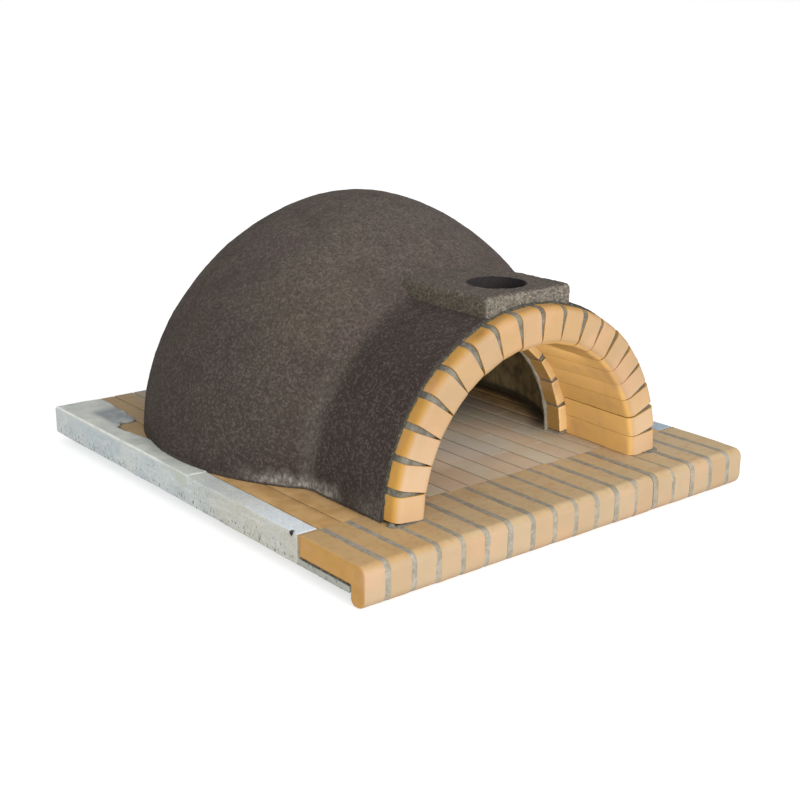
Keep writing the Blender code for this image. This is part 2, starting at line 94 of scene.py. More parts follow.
@dataclass(frozen=True)
class Lines:
    """Levels and lines that several sub-assemblies share."""

    front: float = -0.6175
    rear: float = 0.6175
    half_width: float = 0.5435
    floor: float = 0.062
    spring: float = 0.0623
    floor_front: float = -0.4115
    nosing_rear: float = -0.4175
    floor_half: float = 0.4945
    arch_front: float = -0.5025
    arch_rear: float = -0.2925
    arch_inner: float = 0.298
    arch_outer: float = 0.378
    door_front: float = -0.2922
    door_rear: float = -0.2472
    door_inner: float = 0.282
    chamber_y: float = 0.0725
    dome_y: float = 0.1045
    render_front: float = -0.4625
    render_mouth: float = 0.3853
    flue_y: float = -0.3625
    flue_radius: float = 0.061
    block_half: float = 0.120
    block_top: float = 0.4696
    block_seat_rear: float = -0.2615
    ground: float = -0.022


LINES = Lines()
NEAR = 0.1 * MM
Test = Callable[..., bool]
Move = Callable[[Vector], Vector]
Bumps = Sequence[tuple[float, float]]


# Modelling tools


def focus(obj: Object) -> None:
    """Make one object the active and only selected one."""
    bpy.ops.object.select_all(action="DESELECT")
    obj.select_set(True)
    bpy.context.view_layer.objects.active = obj


@contextmanager
def editing(obj: Object, pick: Pick = Pick.FACES, test: Test | None = None) -> Iterator[None]:
    """Open an object in edit mode with what passes a test selected, and close it afterwards.

    Args:
        obj: The object to edit.
        pick: What is selected.
        test: Takes a point's place, the places of an edge's ends, or a face's centre and normal.
            Without a test, everything is selected.

    Returns:
        A context that lasts as long as edit mode.
    """
    focus(obj)
    bpy.ops.object.mode_set(mode="EDIT")
    bpy.ops.mesh.select_mode(type=pick.value)
    bpy.ops.mesh.select_all(action="DESELECT" if test else "SELECT")
    if test:
        shape = bmesh.from_edit_mesh(obj.data)
        if pick is Pick.POINTS:
            found = [point for point in shape.verts if test(point.co)]
        elif pick is Pick.EDGES:
            found = [edge for edge in shape.edges if test(edge.verts[0].co, edge.verts[1].co)]
        else:
            found = [face for face in shape.faces if test(face.calc_center_median(), face.normal)]
        for element in found:
            element.select_set(True)
        if pick is Pick.POINTS:
            shape.select_flush(True)
        bmesh.update_edit_mesh(obj.data)
    try:
        yield
    finally:
        bpy.ops.object.mode_set(mode="OBJECT")


def settle(obj: Object) -> Object:
    """Put an object's place, turn and size into its mesh."""
    focus(obj)
    bpy.ops.object.transform_apply(location=True, rotation=True, scale=True)
    return obj


def add_start(name: str, kind: str, **settings: Any) -> Object:
    """Add a primitive as the start of a piece, with its place in its mesh.

    Args:
        name: The object's name.
        kind: Blender's name of the primitive.
        **settings: What the primitive is added with.

    Returns:
        The new object.
    """
    bpy.ops.object.select_all(action="DESELECT")
    getattr(bpy.ops.mesh, f"primitive_{kind}_add")(**settings)
    start = bpy.context.object
    start.name = name
    return settle(start)


def add_block(name: str, low: Sequence[float], high: Sequence[float]) -> Object:
    """Add a cube between two corners.

    Args:
        name: The object's name.
        low: Its lowest corner.
        high: Its highest corner.

    Returns:
        The block.
    """
    bottom, top = Vector(low), Vector(high)
    block = add_start(name, "cube", size=1.0)
    block.location, block.scale = (bottom + top) / 2, top - bottom
    return settle(block)


def add_drum(
    name: str, radius: float, low: Sequence[float], high: Sequence[float], sides: int = 96
) -> Object:
    """Add a cylinder between the middles of its ends.

    Args:
        name: The object's name.
        radius: Its radius.
        low: The middle of one end.
        high: The middle of the other end.
        sides: How many facets go round it.

    Returns:
        The cylinder.
    """
    start, stop = Vector(low), Vector(high)
    turn = (stop - start).to_track_quat("Z", "Y").to_euler()
    form = {"vertices": sides, "radius": radius, "depth": (stop - start).length}
    return add_start(name, "cylinder", location=(start + stop) / 2, rotation=turn, **form)


def round_edges(obj: Object, test: Test, radius: float, steps: int = 3) -> None:
    """Bevel the edges that pass a test.

    Args:
        obj: The object to shape.
        test: Takes the places of an edge's two ends.
        radius: The rounding's radius.
        steps: How many facets the rounding has.
    """
    with editing(obj, Pick.EDGES, test):
        bpy.ops.mesh.bevel(offset=radius, segments=steps, affect="EDGES")


def draw_out(obj: Object, test: Test, move: Sequence[float]) -> None:
    """Extrude the faces that pass a test.

    Args:
        obj: The object to shape.
        test: Takes a face's centre and normal.
        move: How far and which way the faces go.
    """
    with editing(obj, Pick.FACES, test):
        bpy.ops.mesh.extrude_region_move(TRANSFORM_OT_translate={"value": tuple(move)})


def slice_at(
    obj: Object, point: Sequence[float], normal: Sequence[float], keep: Keep = Keep.BOTH
) -> None:
    """Cut an object along a plane; a side that goes leaves a closed face.

    Args:
        obj: The object to cut.
        point: A point of the plane.
        normal: The plane's normal.
        keep: The side that stays.
    """
    with editing(obj):
        bpy.ops.mesh.bisect(
            plane_co=tuple(point),
            plane_no=tuple(normal),
            use_fill=keep is not Keep.BOTH,
            clear_inner=keep is Keep.AHEAD,
            clear_outer=keep is Keep.BEHIND,
        )


def slice_even(obj: Object, steps: dict[int, float]) -> None:
    """Cut an object into even slices, so that its flat faces can be roughened.

    Args:
        obj: The object to cut.
        steps: About how wide a slice is along each axis: 0, 1 or 2 for X, Y or Z.
    """
    for axis, step in steps.items():
        places = [point.co[axis] for point in obj.data.vertices]
        low, high = min(places), max(places)
        count = max(1, round((high - low) / step))
        normal = Vector.Fill(3)
        normal[axis] = 1.0
        for index in range(1, count):
            slice_at(obj, normal * (low + (high - low) * index / count), normal)


def break_sides(obj: Object, half: float, size: float) -> None:
    """Chamfer the outline of both side faces.

    Args:
        obj: The object to shape, whose middle is at X zero.
        half: Half its width.
        size: The chamfer's size.
    """
    side = half - NEAR
    round_edges(obj, lambda a, b: min(abs(a.x), abs(b.x)) > side and abs(a.x - b.x) < NEAR, size, 1)


def modify(obj: Object, kind: str, **settings: Any) -> None:
    """Add a modifier with its settings and apply it.

    Args:
        obj: The object to change.
        kind: Blender's name of the modifier.
        **settings: Values of the modifier's properties.
    """
    focus(obj)
    modifier = obj.modifiers.new(kind.lower(), kind)
    for name, value in settings.items():
        setattr(modifier, name, value)
    bpy.ops.object.modifier_apply(modifier=modifier.name)


def even_mesh(obj: Object, grain: float) -> None:
    """Remesh an object into even small faces, which wears its sharp edges a little."""
    modify(obj, "REMESH", mode="VOXEL", voxel_size=grain, use_smooth_shade=True)


def roughen(obj: Object, bumps: Bumps) -> None:
    """Push the surface in and out by noises.

    Args:
        obj: The object to roughen.
        bumps: For each noise, about how wide a bump is, and how far the highest bumps stand above
            the deepest dents, roughly.
    """
    for width, depth in bumps:
        name = f"bumps_{width:.4f}"
        texture = bpy.data.textures.get(name)
        if texture is None:
            texture = bpy.data.textures.new(name, "CLOUDS")
            texture.noise_scale = width
            texture.noise_depth = 1
        modify(obj, "DISPLACE", texture=texture, texture_coords="LOCAL", strength=depth, mid_level=0.5)


def cut_away(obj: Object, cutter: Object, solver: Solver = Solver.EXACT) -> None:
    """Take a closed shape, which goes, out of an object."""
    modify(obj, "BOOLEAN", operation="DIFFERENCE", object=cutter, solver=solver.value)
    discard(cutter)


def fuse(obj: Object, other: Object) -> None:
    """Unite an object with another, which goes."""
    modify(obj, "BOOLEAN", operation="UNION", object=other, solver=Solver.EXACT.value)
    discard(other)


def discard(*shapes: Object) -> None:
    """Remove working shapes."""
    for shape in shapes:
        bpy.data.objects.remove(shape, do_unlink=True)


def copy_of(master: Object, name: str, place: Matrix = Matrix.Identity(4)) -> Object:
    """Duplicate an object with its own mesh and set the copy in place.

    Args:
        master: What is copied.
        name: The copy's name.
        place: How the copy is turned and moved.

    Returns:
        The copy, with its place in its mesh.
    """
    focus(master)
    bpy.ops.object.duplicate()
    copy = bpy.context.object
    copy.name = name
    copy.matrix_world = place
    return settle(copy)


def join(pieces: Sequence[Object], name: str) -> Object:
    """Join objects into one.

    Args:
        pieces: The objects, of which the first takes up the others.
        name: The joined object's name.

    Returns:
        The joined object.
    """
    focus(pieces[0])
    for piece in pieces[1:]:
        piece.select_set(True)
    bpy.ops.object.join()
    pieces[0].name = name
    return pieces[0]


def reshape(obj: Object, move: Move) -> None:
    """Move every point of an object to where a rule puts it."""
    for point in obj.data.vertices:
        point.co = move(point.co.copy())
    obj.data.update()


def paint(obj: Object, name: str, value: Callable[[Vector], float] | float) -> None:
    """Write a value for every point of an object, for its finish to read.

    Args:
        obj: The object to paint.
        name: The attribute's name.
        value: One value for all points, or a rule that takes a point's place.
    """
    attribute = obj.data.attributes.get(name) or obj.data.attributes.new(name, "FLOAT", "POINT")
    points = obj.data.vertices
    values = [value(point.co) if callable(value) else value for point in points]
    attribute.data.foreach_set("value", values)


def outward(obj: Object) -> None:
    """Merge double points and turn all faces outwards."""
    with editing(obj, Pick.POINTS):
        bpy.ops.mesh.remove_doubles(threshold=0.01 * MM)
        bpy.ops.mesh.normals_make_consistent(inside=False)


def sweep(section: Object, steps: int) -> None:
    """Turn a section about the arches' axis, from foot to foot, into a closed band."""
    with editing(section):
        bpy.ops.mesh.spin(steps=steps, angle=math.pi, center=(0, 0, LINES.spring), axis=(0, 1, 0))
    outward(section)


def fade(value: float, low: float, high: float) -> float:
    """Smooth step from 0 at low to 1 at high; low may be the larger of the two."""
    share = min(max((value - low) / (high - low), 0.0), 1.0)
    return share * share * (3 - 2 * share)


def finish_piece(
    obj: Object, material: Material, node: str, sharp: float = 40.0
) -> None:
    """Dress a modelled piece and put it in the place of its solid.

    Args:
        obj: The piece.
        material: Its finish.
        node: The solid that the piece stands for.
        sharp: Angle in degrees past which an edge stays crisp.
    """
    focus(obj)
    bpy.ops.object.shade_smooth_by_angle(angle=math.radians(sharp))
    obj.data.materials.clear()
    obj.data.materials.append(material)
    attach(obj, "root")
    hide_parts(node)
    log.info("%s: %d faces, for %s", obj.name, len(obj.data.polygons), node)


def about_spring(angle: float) -> Matrix:
    """A turn about the arches' axis; positive turns what is at the crown to the left."""
    pivot = Matrix.Translation((0, 0, LINES.spring))
    return pivot @ Matrix.Rotation(-angle, 4, "Y") @ pivot.inverted()


# Finishes


class Knot(Enum):
    """Kinds of shader node: Blender's name, the inputs to give in order, the output, its settings."""

    PLACE = ("ShaderNodeTexCoord", (), "Object", {})
    NORMAL = ("ShaderNodeNewGeometry", (), "Normal", {})
    PAINTED = ("ShaderNodeAttribute", (), "Fac", {})
    NOISE = ("ShaderNodeTexNoise", ("Scale", "Detail", "Roughness", "Vector"), "Fac", {})
    CELLS = ("ShaderNodeTexVoronoi", ("Scale", "Vector"), "Distance", {})
    TINTS = ("ShaderNodeTexVoronoi", ("Scale", "Vector"), "Color", {})
    TURN = ("ShaderNodeTexGradient", ("Vector",), "Fac", {"gradient_type": "RADIAL"})
    STRETCH = ("ShaderNodeMapping", ("Scale", "Vector"), 0, {})
    SHIFT = ("ShaderNodeMapping", ("Location", "Vector"), 0, {})
    SPLIT = ("ShaderNodeSeparateXYZ", (0,), 0, {})
    JOIN = ("ShaderNodeCombineXYZ", (0, 1, 2), 0, {})
    MATH = ("ShaderNodeMath", (0, 1), 0, {})
    VECTOR = ("ShaderNodeVectorMath", (0, 1), "Vector", {})
    MEASURE = ("ShaderNodeVectorMath", (0, 1), "Value", {})
    RAMP = ("ShaderNodeMapRange", (0, 1, 2, 3, 4), 0, {"interpolation_type": "SMOOTHSTEP"})
    MIX = ("ShaderNodeMix", (0, 6, 7), 2, {"data_type": "RGBA"})
    BUMP = ("ShaderNodeBump", ("Height", "Distance", "Strength"), 0, {})


def to_linear(code: str) -> tuple[float, float, float, float]:
    """Turn an sRGB hex colour into linear RGBA."""
    shares = [int(code[start : start + 2], 16) / 255 for start in (1, 3, 5)]
    return (*[s / 12.92 if s <= 0.04045 else ((s + 0.055) / 1.055) ** 2.4 for s in shares], 1.0)


def per(width: float) -> float:
    """Scale of a pattern whose patches are about one width across."""
    return 1 / width


class Finish:
    """A Principled material that is put together step by step on Object coordinates."""

    def __init__(self, name: str, roughness: float, specular: float) -> None:
        """Start a material.

        Args:
            name: The material's name.
            roughness: The shader's roughness.
            specular: The shader's specular level.
        """
        self.material = bpy.data.materials.new(name)
        self.material.use_nodes = True
        self.tree = self.material.node_tree
        self.shader = self.tree.nodes["Principled BSDF"]
        self.shader.inputs["Roughness"].default_value = roughness
        self.shader.inputs["Specular IOR Level"].default_value = specular
        self.place = self.add(Knot.PLACE)
        self.normal = self.add(Knot.NORMAL)
        self.x, self.y, self.z = self.add(Knot.SPLIT, self.place).node.outputs
        facing = self.add(Knot.SPLIT, self.normal).node
        self.facing_x, self.facing_y, self.facing_z = facing.outputs

    def add(self, knot: Knot, *inputs: Any, **settings: Any) -> NodeSocket:
        """Add a node with its settings and links.

        Args:
            knot: The kind of node.
            *inputs: A socket, a value or a hex colour for each input, in the knot's order. A Vector
                that isn't given is the place on the piece.
            **settings: Further properties of the node.

        Returns:
            The knot's output.
        """
        kind, names, output, preset = knot.value
        node = self.tree.nodes.new(kind)
        for name, value in (preset | settings).items():
            setattr(node, name, value)
        given = dict(zip(names, inputs))
        if "Vector" in names:
            given.setdefault("Vector", self.place)
        for name, value in given.items():
            if isinstance(value, NodeSocket):
                self.tree.links.new(value, node.inputs[name])
            else:
                node.inputs[name].default_value = to_linear(value) if isinstance(value, str) else value
        return node.outputs[output]

    def off(self, x: float, y: float) -> NodeSocket:
        """Distance from an upright axis."""
        level = self.add(Knot.JOIN, self.x, self.y)
        return self.add(Knot.MEASURE, level, (x, y, 0.0), operation="DISTANCE")

    def times(self, *values: Any) -> NodeSocket:
        """Multiply any number of values."""
        made = values[0]
        for value in values[1:]:
            made = self.add(Knot.MATH, made, value, operation="MULTIPLY")
        return made

    def close(self, colour: Any, height: Any, depth: float, strength: float) -> Material:
        """Wire colour and bump to the shader.

        Args:
            colour: The base colour's socket.
            height: The bump's height, from 0 to 1.
            depth: How deep the bump is.
            strength: How much of the bump shows.

        Returns:
            The finished material.
        """
        self.tree.links.new(colour, self.shader.inputs["Base Color"])
        bump = self.add(Knot.BUMP, height, depth, strength)
        self.tree.links.new(bump, self.shader.inputs["Normal"])
        return self.material


@dataclass(frozen=True)
class PressedFirebrick:
    """Dry pressed and fired fireclay: a buff body with grog specks, matt, with a painted sheen on its
    front faces.

    The eye sees a warm, even buff with faint cloudy blotches, a few darker specks, and a film of
    cement dust where mortar was wiped off.
    """

    name: str = "fireclay_brick_pressed"
    body: str = "#B38A47"
    deep: str = "#A17838"
    skin: str = "#AD947A"
    side: str = "#B3873F"
    inner: str = "#D6AA67"
    shade: str = "#DCD8CD"
    pink: str = "#AA8468"
    soil: str = "#9E835B"
    dust: str = "#9F8E70"
    speck: str = "#75582F"
    film: str = "#938876"
    scuff: str = "#87694A"
    soil_share: float = 0.0
    blotch: float = 45 * MM
    grog: float = 5 * MM  # real grog is 1 to 2 mm; drawn coarser, so that it shows

    def make(self) -> Material:
        """Build the material."""
        made = Finish(self.name, roughness=0.78, specular=0.25)
        colour = made.add(
            Knot.MIX,
            made.add(Knot.RAMP, made.add(Knot.NOISE, per(self.blotch)), 0.35, 0.7),
            self.body,
            self.deep,
        )
        # Painted sheen: faces towards the front are painted paler, for the sheen that they catch.
        front = made.add(Knot.RAMP, made.facing_y, -0.35, -0.95)
        colour = made.add(Knot.MIX, made.times(front, 0.85), colour, self.skin)
        # Painted shade: faces turned to the sides are painted a deeper ochre, for the light that they
        # miss.
        aside = made.add(Knot.MATH, made.facing_x, operation="ABSOLUTE")
        colour = made.add(
            Knot.MIX, made.add(Knot.RAMP, aside, 0.5, 0.95, 0.0, 0.6), colour, self.side
        )
        lift = made.add(Knot.MATH, made.z, LINES.spring, operation="SUBTRACT")
        spoke = made.add(Knot.JOIN, made.x, 0.0, lift)
        spoke = made.add(Knot.VECTOR, spoke, operation="NORMALIZE")
        outwards = made.add(Knot.MEASURE, spoke, made.normal, operation="DOT_PRODUCT")
        # Painted shade: the colour is darkened from the floor up, so that the feet of the arch come out
        # as bright as its crown.
        up = made.add(Knot.RAMP, made.z, LINES.floor + 0.01, 0.30)
        colour = made.add(Knot.MIX, up, colour, self.shade, blend_type="MULTIPLY")
        # Painted light: faces turned towards the arch's axis, the jamb and soffit, are painted
        # brighter.
        colour = made.add(
            Knot.MIX, made.add(Knot.RAMP, outwards, -0.5, -0.95, 0.0, 0.9), colour, self.inner
        )
        flush = made.add(Knot.RAMP, made.add(Knot.NOISE, per(75 * MM), 3.0), 0.5, 0.68, 0.0, 0.35)
        colour = made.add(Knot.MIX, flush, colour, self.pink)
        tone = made.add(
            Knot.RAMP, made.add(Knot.PAINTED, attribute_name="tone"), 0.0, 1.0, 0.0, 0.25
        )
        colour = made.add(Knot.MIX, tone, colour, self.deep)
        top = made.add(Knot.RAMP, made.facing_z, 0.45, 0.9)
        worn = made.add(Knot.RAMP, made.add(Knot.NOISE, per(60 * MM), 3.0), 0.25, 0.6, 0.7, 1.0)
        walked = made.add(Knot.RAMP, made.x, -0.42, -0.25, 0.0, 0.9)
        soil = made.add(Knot.MIX, walked, self.soil, self.dust)
        colour = made.add(Knot.MIX, made.times(top, worn, self.soil_share), colour, soil)
        scuff = made.add(
            Knot.RAMP, made.add(Knot.NOISE, per(13 * MM), 4.0, 0.65), 0.48, 0.68, 0.0, 0.45
        )
        colour = made.add(Knot.MIX, made.times(top, scuff, self.soil_share), colour, self.scuff)
        film = made.add(Knot.RAMP, made.add(Knot.NOISE, per(28 * MM), 4.0, 0.6), 0.58, 0.74)
        colour = made.add(Knot.MIX, made.times(film, 0.22), colour, self.film)
        specks = made.add(Knot.RAMP, made.add(Knot.CELLS, per(self.grog)), 0.22, 0.08, 0.0, 0.25)
        gate = made.add(Knot.RAMP, made.add(Knot.NOISE, per(9 * MM)), 0.5, 0.65)
        colour = made.add(Knot.MIX, made.times(specks, gate), colour, self.speck)
        height = made.add(Knot.NOISE, per(3 * MM), 3.0, 0.6)
        return made.close(colour, height, 0.5 * MM, 0.5)


@dataclass(frozen=True)
class HearthBrick:
    """Fired hearth brick, rubbed level: dull tan, dusty grey under the arch, orange outside it."""

    name: str = "hearth_brick_rubbed"
    body: str = "#AC8B5E"
    deep: str = "#99774A"
    grey: str = "#8C7B60"
    dust: str = "#A39987"
    pink: str = "#A58D77"
    dark: str = "#7F7972"
    wall_foot_shade: str = "#2E2922"
    blotch: float = 50 * MM

    def make(self) -> Material:
        """Build the material."""
        made = Finish(self.name, roughness=0.85, specular=0.2)
        colour = made.add(
            Knot.MIX,
            made.add(Knot.RAMP, made.add(Knot.NOISE, per(self.blotch)), 0.35, 0.7),
            self.body,
            self.deep,
        )
        tone = made.add(Knot.RAMP, made.add(Knot.PAINTED, attribute_name="tone"), 0.0, 1.0)
        colour = made.add(Knot.MIX, made.times(tone, 0.3), colour, self.deep)
        colour = made.add(
            Knot.MIX, made.add(Knot.RAMP, made.y, 0.0, 0.5, 0.0, 0.8), colour, self.grey
        )
        dusty = made.add(Knot.MIX, made.times(tone, 0.7), self.dust, self.pink)
        aside = made.add(Knot.MATH, made.x, operation="ABSOLUTE")
        inside = made.add(Knot.RAMP, aside, LINES.arch_outer, LINES.arch_inner - 0.03)
        patch = made.add(Knot.RAMP, made.add(Knot.NOISE, per(70 * MM), 3.0), 0.25, 0.6, 0.75, 1.0)
        colour = made.add(Knot.MIX, made.times(inside, patch), colour, dusty)
        # Painted shade: the floor is painted darker deeper inside the chamber and under the door arch.
        back_shade = made.add(Knot.RAMP, made.y, -0.10, 0.08)
        colour = made.add(Knot.MIX, made.times(back_shade, inside, 0.85), colour, self.dark)
        doorway = made.add(Knot.RAMP, made.off(0.05, -0.225), 0.15, 0.03, 0.0, 0.6)
        colour = made.add(Knot.MIX, doorway, colour, self.dark)
        # Painted shade: the floor is painted near black where it meets the chamber's wall.
        away = made.off(0.0, LINES.chamber_y)
        wall = made.times(
            made.add(Knot.RAMP, away, 0.375, 0.42),
            made.add(Knot.RAMP, made.y, LINES.door_rear, -0.18),
        )
        outdoors = made.add(Knot.RAMP, away, 0.44, 0.46, 0.85, 0.0)
        colour = made.add(Knot.MIX, made.times(wall, outdoors), colour, self.wall_foot_shade)
        height = made.add(Knot.NOISE, per(3.5 * MM), 3.0, 0.6)
        return made.close(colour, height, 0.6 * MM, 0.5)


@dataclass(frozen=True)
class CementMortar:
    """Sand and cement mortar, pointed and left rough: grey, grainy, with paler laitance."""

    name: str = "cement_mortar_pointed"
    body: str = "#867F72"
    dark: str = "#757063"
    pale: str = "#928C7F"
    dust: str = "#94795A"
    grime_and_shade: str = "#39352E"
    sand: float = 2.4 * MM  # real sand is about 1 mm; drawn coarser, so that it shows

    def make(self) -> Material:
        """Build the material."""
        made = Finish(self.name, roughness=0.92, specular=0.2)
        colour = made.add(
            Knot.MIX,
            made.add(Knot.RAMP, made.add(Knot.NOISE, per(22 * MM), 3.0), 0.32, 0.68),
            self.dark,
            self.body,
        )
        colour = made.add(
            Knot.MIX,
            made.add(Knot.RAMP, made.add(Knot.NOISE, per(9 * MM), 3.0), 0.52, 0.72, 0.0, 0.5),
            colour,
            self.pale,
        )
        colour = made.add(
            Knot.MIX,
            0.12,
            colour,
            made.add(Knot.SPLIT, made.add(Knot.TINTS, per(self.sand))),
            blend_type="OVERLAY",
        )
        colour = made.add(
            Knot.MIX, made.add(Knot.PAINTED, attribute_name="dust"), colour, self.dust
        )
        # The mortar is painted darker where marked: real grime in places, and painted shade in recessed
        # joints, in gaps under bricks and in the crease along the arch.
        gritty = made.add(Knot.RAMP, made.add(Knot.NOISE, per(5 * MM), 3.0), 0.35, 0.6, 0.55, 1.0)
        colour = made.add(
            Knot.MIX,
            made.times(made.add(Knot.PAINTED, attribute_name="grime_and_shade"), gritty),
            colour,
            self.grime_and_shade,
        )
        height = made.add(Knot.CELLS, per(self.sand))
        return made.close(colour, height, 0.6 * MM, 0.6)


@dataclass(frozen=True)
class CastConcrete:
    """Concrete cast in a form: pale blue grey, cloudy, with air pits and a sandy lower edge."""

    name: str = "concrete_cast"
    body: str = "#ABAFAD"
    cool: str = "#97A0A4"
    warm: str = "#A3A196"
    bleached: str = "#B7BDC3"
    wet: str = "#8292A0"
    under_nosing_shade: str = "#84857E"
    pit: str = "#5A5F5D"
    hole: str = "#2E2F2C"
    crust: str = "#C2C3BC"
    sand: float = 3 * MM
    pit_width: float = 6 * MM

    def make(self) -> Material:
        """Build the material."""
        made = Finish(self.name, roughness=0.88, specular=0.25)
        colour = made.add(
            Knot.MIX,
            made.add(Knot.RAMP, made.add(Knot.NOISE, per(110 * MM), 4.0, 0.55), 0.35, 0.68),
            self.body,
            self.cool,
        )
        front = made.add(Knot.RAMP, made.y, 0.15, -0.25)
        patch = made.add(Knot.RAMP, made.add(Knot.NOISE, per(70 * MM), 3.0), 0.25, 0.6, 0.5, 1.0)
        colour = made.add(Knot.MIX, made.times(front, patch), colour, self.warm)
        top = made.add(Knot.RAMP, made.facing_z, 0.4, 0.9, 0.0, 0.9)
        ahead = made.add(Knot.RAMP, made.y, -0.12, -0.36, 0.15, 1.0)
        weather = made.add(
            Knot.MIX, made.add(Knot.RAMP, made.x, 0.1, -0.1), self.wet, self.bleached
        )
        colour = made.add(Knot.MIX, made.times(top, front, ahead), colour, weather)
        lengthwise = made.add(Knot.STRETCH, (1.0, 1 / 9.0, 1.0))
        streak = made.add(
            Knot.RAMP, made.add(Knot.NOISE, per(9 * MM), 3.0, 0.55, lengthwise), 0.5, 0.72, 0.0, 0.3
        )
        colour = made.add(Knot.MIX, streak, colour, self.crust)
        crust = made.add(
            Knot.RAMP, made.add(Knot.NOISE, per(14 * MM), 4.0, 0.65), 0.56, 0.75, 0.0, 0.3
        )
        colour = made.add(Knot.MIX, crust, colour, self.crust)
        colour = made.add(
            Knot.MIX,
            0.10,
            colour,
            made.add(Knot.SPLIT, made.add(Knot.TINTS, per(self.sand))),
            blend_type="OVERLAY",
        )
        stain = made.add(
            Knot.RAMP, made.add(Knot.NOISE, per(20 * MM), 4.0, 0.7), 0.55, 0.75, 0.0, 0.2
        )
        colour = made.add(Knot.MIX, stain, colour, self.pit)
        # Painted shade: the face under the nosing plate is painted darker and cooler, for the shade
        # under the overhang.
        under = made.add(
            Knot.RAMP, made.y, LINES.floor_front + 4 * MM, LINES.floor_front - 4 * MM, 0.0, 0.75
        )
        colour = made.add(Knot.MIX, under, colour, self.under_nosing_shade)
        low = made.add(Knot.RAMP, made.z, 0.036, 0.004)
        upright = made.add(Knot.STRETCH, (1.0, 1.0, 1 / 2.4))
        pits = made.add(Knot.RAMP, made.add(Knot.CELLS, per(self.pit_width), upright), 0.42, 0.2)
        gate = made.add(Knot.RAMP, made.add(Knot.NOISE, per(15 * MM), 2.0), 0.42, 0.56)
        pits = made.times(pits, gate, low)
        # Painted shade: the drawn air pits are painted darker, for the shade inside them.
        colour = made.add(Knot.MIX, made.times(pits, 0.9), colour, self.pit)
        # Painted shade: the inside of the one deep pit is painted near black.
        colour = made.add(
            Knot.MIX, made.add(Knot.PAINTED, attribute_name="hole"), colour, self.hole
        )
        fine = made.add(Knot.NOISE, per(4 * MM), 4.0, 0.65)
        height = made.add(Knot.MATH, fine, pits, operation="SUBTRACT")
        return made.close(colour, height, 1.0 * MM, 0.5)


@dataclass(frozen=True)
class TrowelledMortar:
    """Mortar spread over the rim and floated: pale grey, smooth in streaks, bluer and darker in a patch
    towards the rear.
    """

    name: str = "cement_mortar_floated"
    body: str = "#A3A6A1"
    cool: str = "#7D8284"
    pale: str = "#B4B6AF"
    line: str = "#C9CBC5"
    side: str = "#A8ADAB"
    green: str = "#A0A59A"
    shaded: str = "#7C7D74"

    def make(self) -> Material:
        """Build the material."""
        made = Finish(self.name, roughness=0.86, specular=0.25)
        colour = made.add(
            Knot.MIX,
            made.add(Knot.RAMP, made.add(Knot.NOISE, per(60 * MM), 4.0, 0.6), 0.36, 0.66),
            self.body,
            self.pale,
        )
        patch_x = made.add(Knot.RAMP, made.x, -0.512, -0.488)
        patch_y = made.add(Knot.RAMP, made.y, 0.36, 0.41)
        patch_end = made.add(Knot.RAMP, made.y, 0.54, 0.49)
        ragged = made.add(Knot.RAMP, made.add(Knot.NOISE, per(30 * MM), 4.0), 0.3, 0.55, 0.45, 1.0)
        colour = made.add(Knot.MIX, made.times(patch_x, patch_y, patch_end, ragged), colour, self.cool)
        colour = made.add(
            Knot.MIX,
            made.add(Knot.RAMP, made.add(Knot.NOISE, per(12 * MM), 4.0), 0.55, 0.75, 0.0, 0.4),
            colour,
            self.cool,
        )
        # Painted highlight: a pale line along the sheet's outer edge.
        rim = made.add(Knot.RAMP, made.x, -0.5395, -0.5425)
        broken = made.add(Knot.RAMP, made.add(Knot.NOISE, per(25 * MM), 3.0), 0.3, 0.55, 0.3, 0.9)
        colour = made.add(Knot.MIX, made.times(rim, broken), colour, self.line)
        by_dome = made.add(Knot.RAMP, made.off(0.0, LINES.dome_y), 0.545, 0.505, 0.0, 0.2)
        colour = made.add(Knot.MIX, made.times(by_dome, ragged), colour, self.shaded)
        under = made.add(Knot.RAMP, made.z, LINES.floor + 3 * MM, LINES.floor - 1 * MM)
        side = made.add(Knot.MIX, made.add(Knot.RAMP, made.y, 0.10, 0.05), self.side, self.green)
        colour = made.add(Knot.MIX, made.times(rim, under), colour, side)
        return made.close(colour, made.add(Knot.NOISE, per(5 * MM), 4.0, 0.6), 0.8 * MM, 0.6)


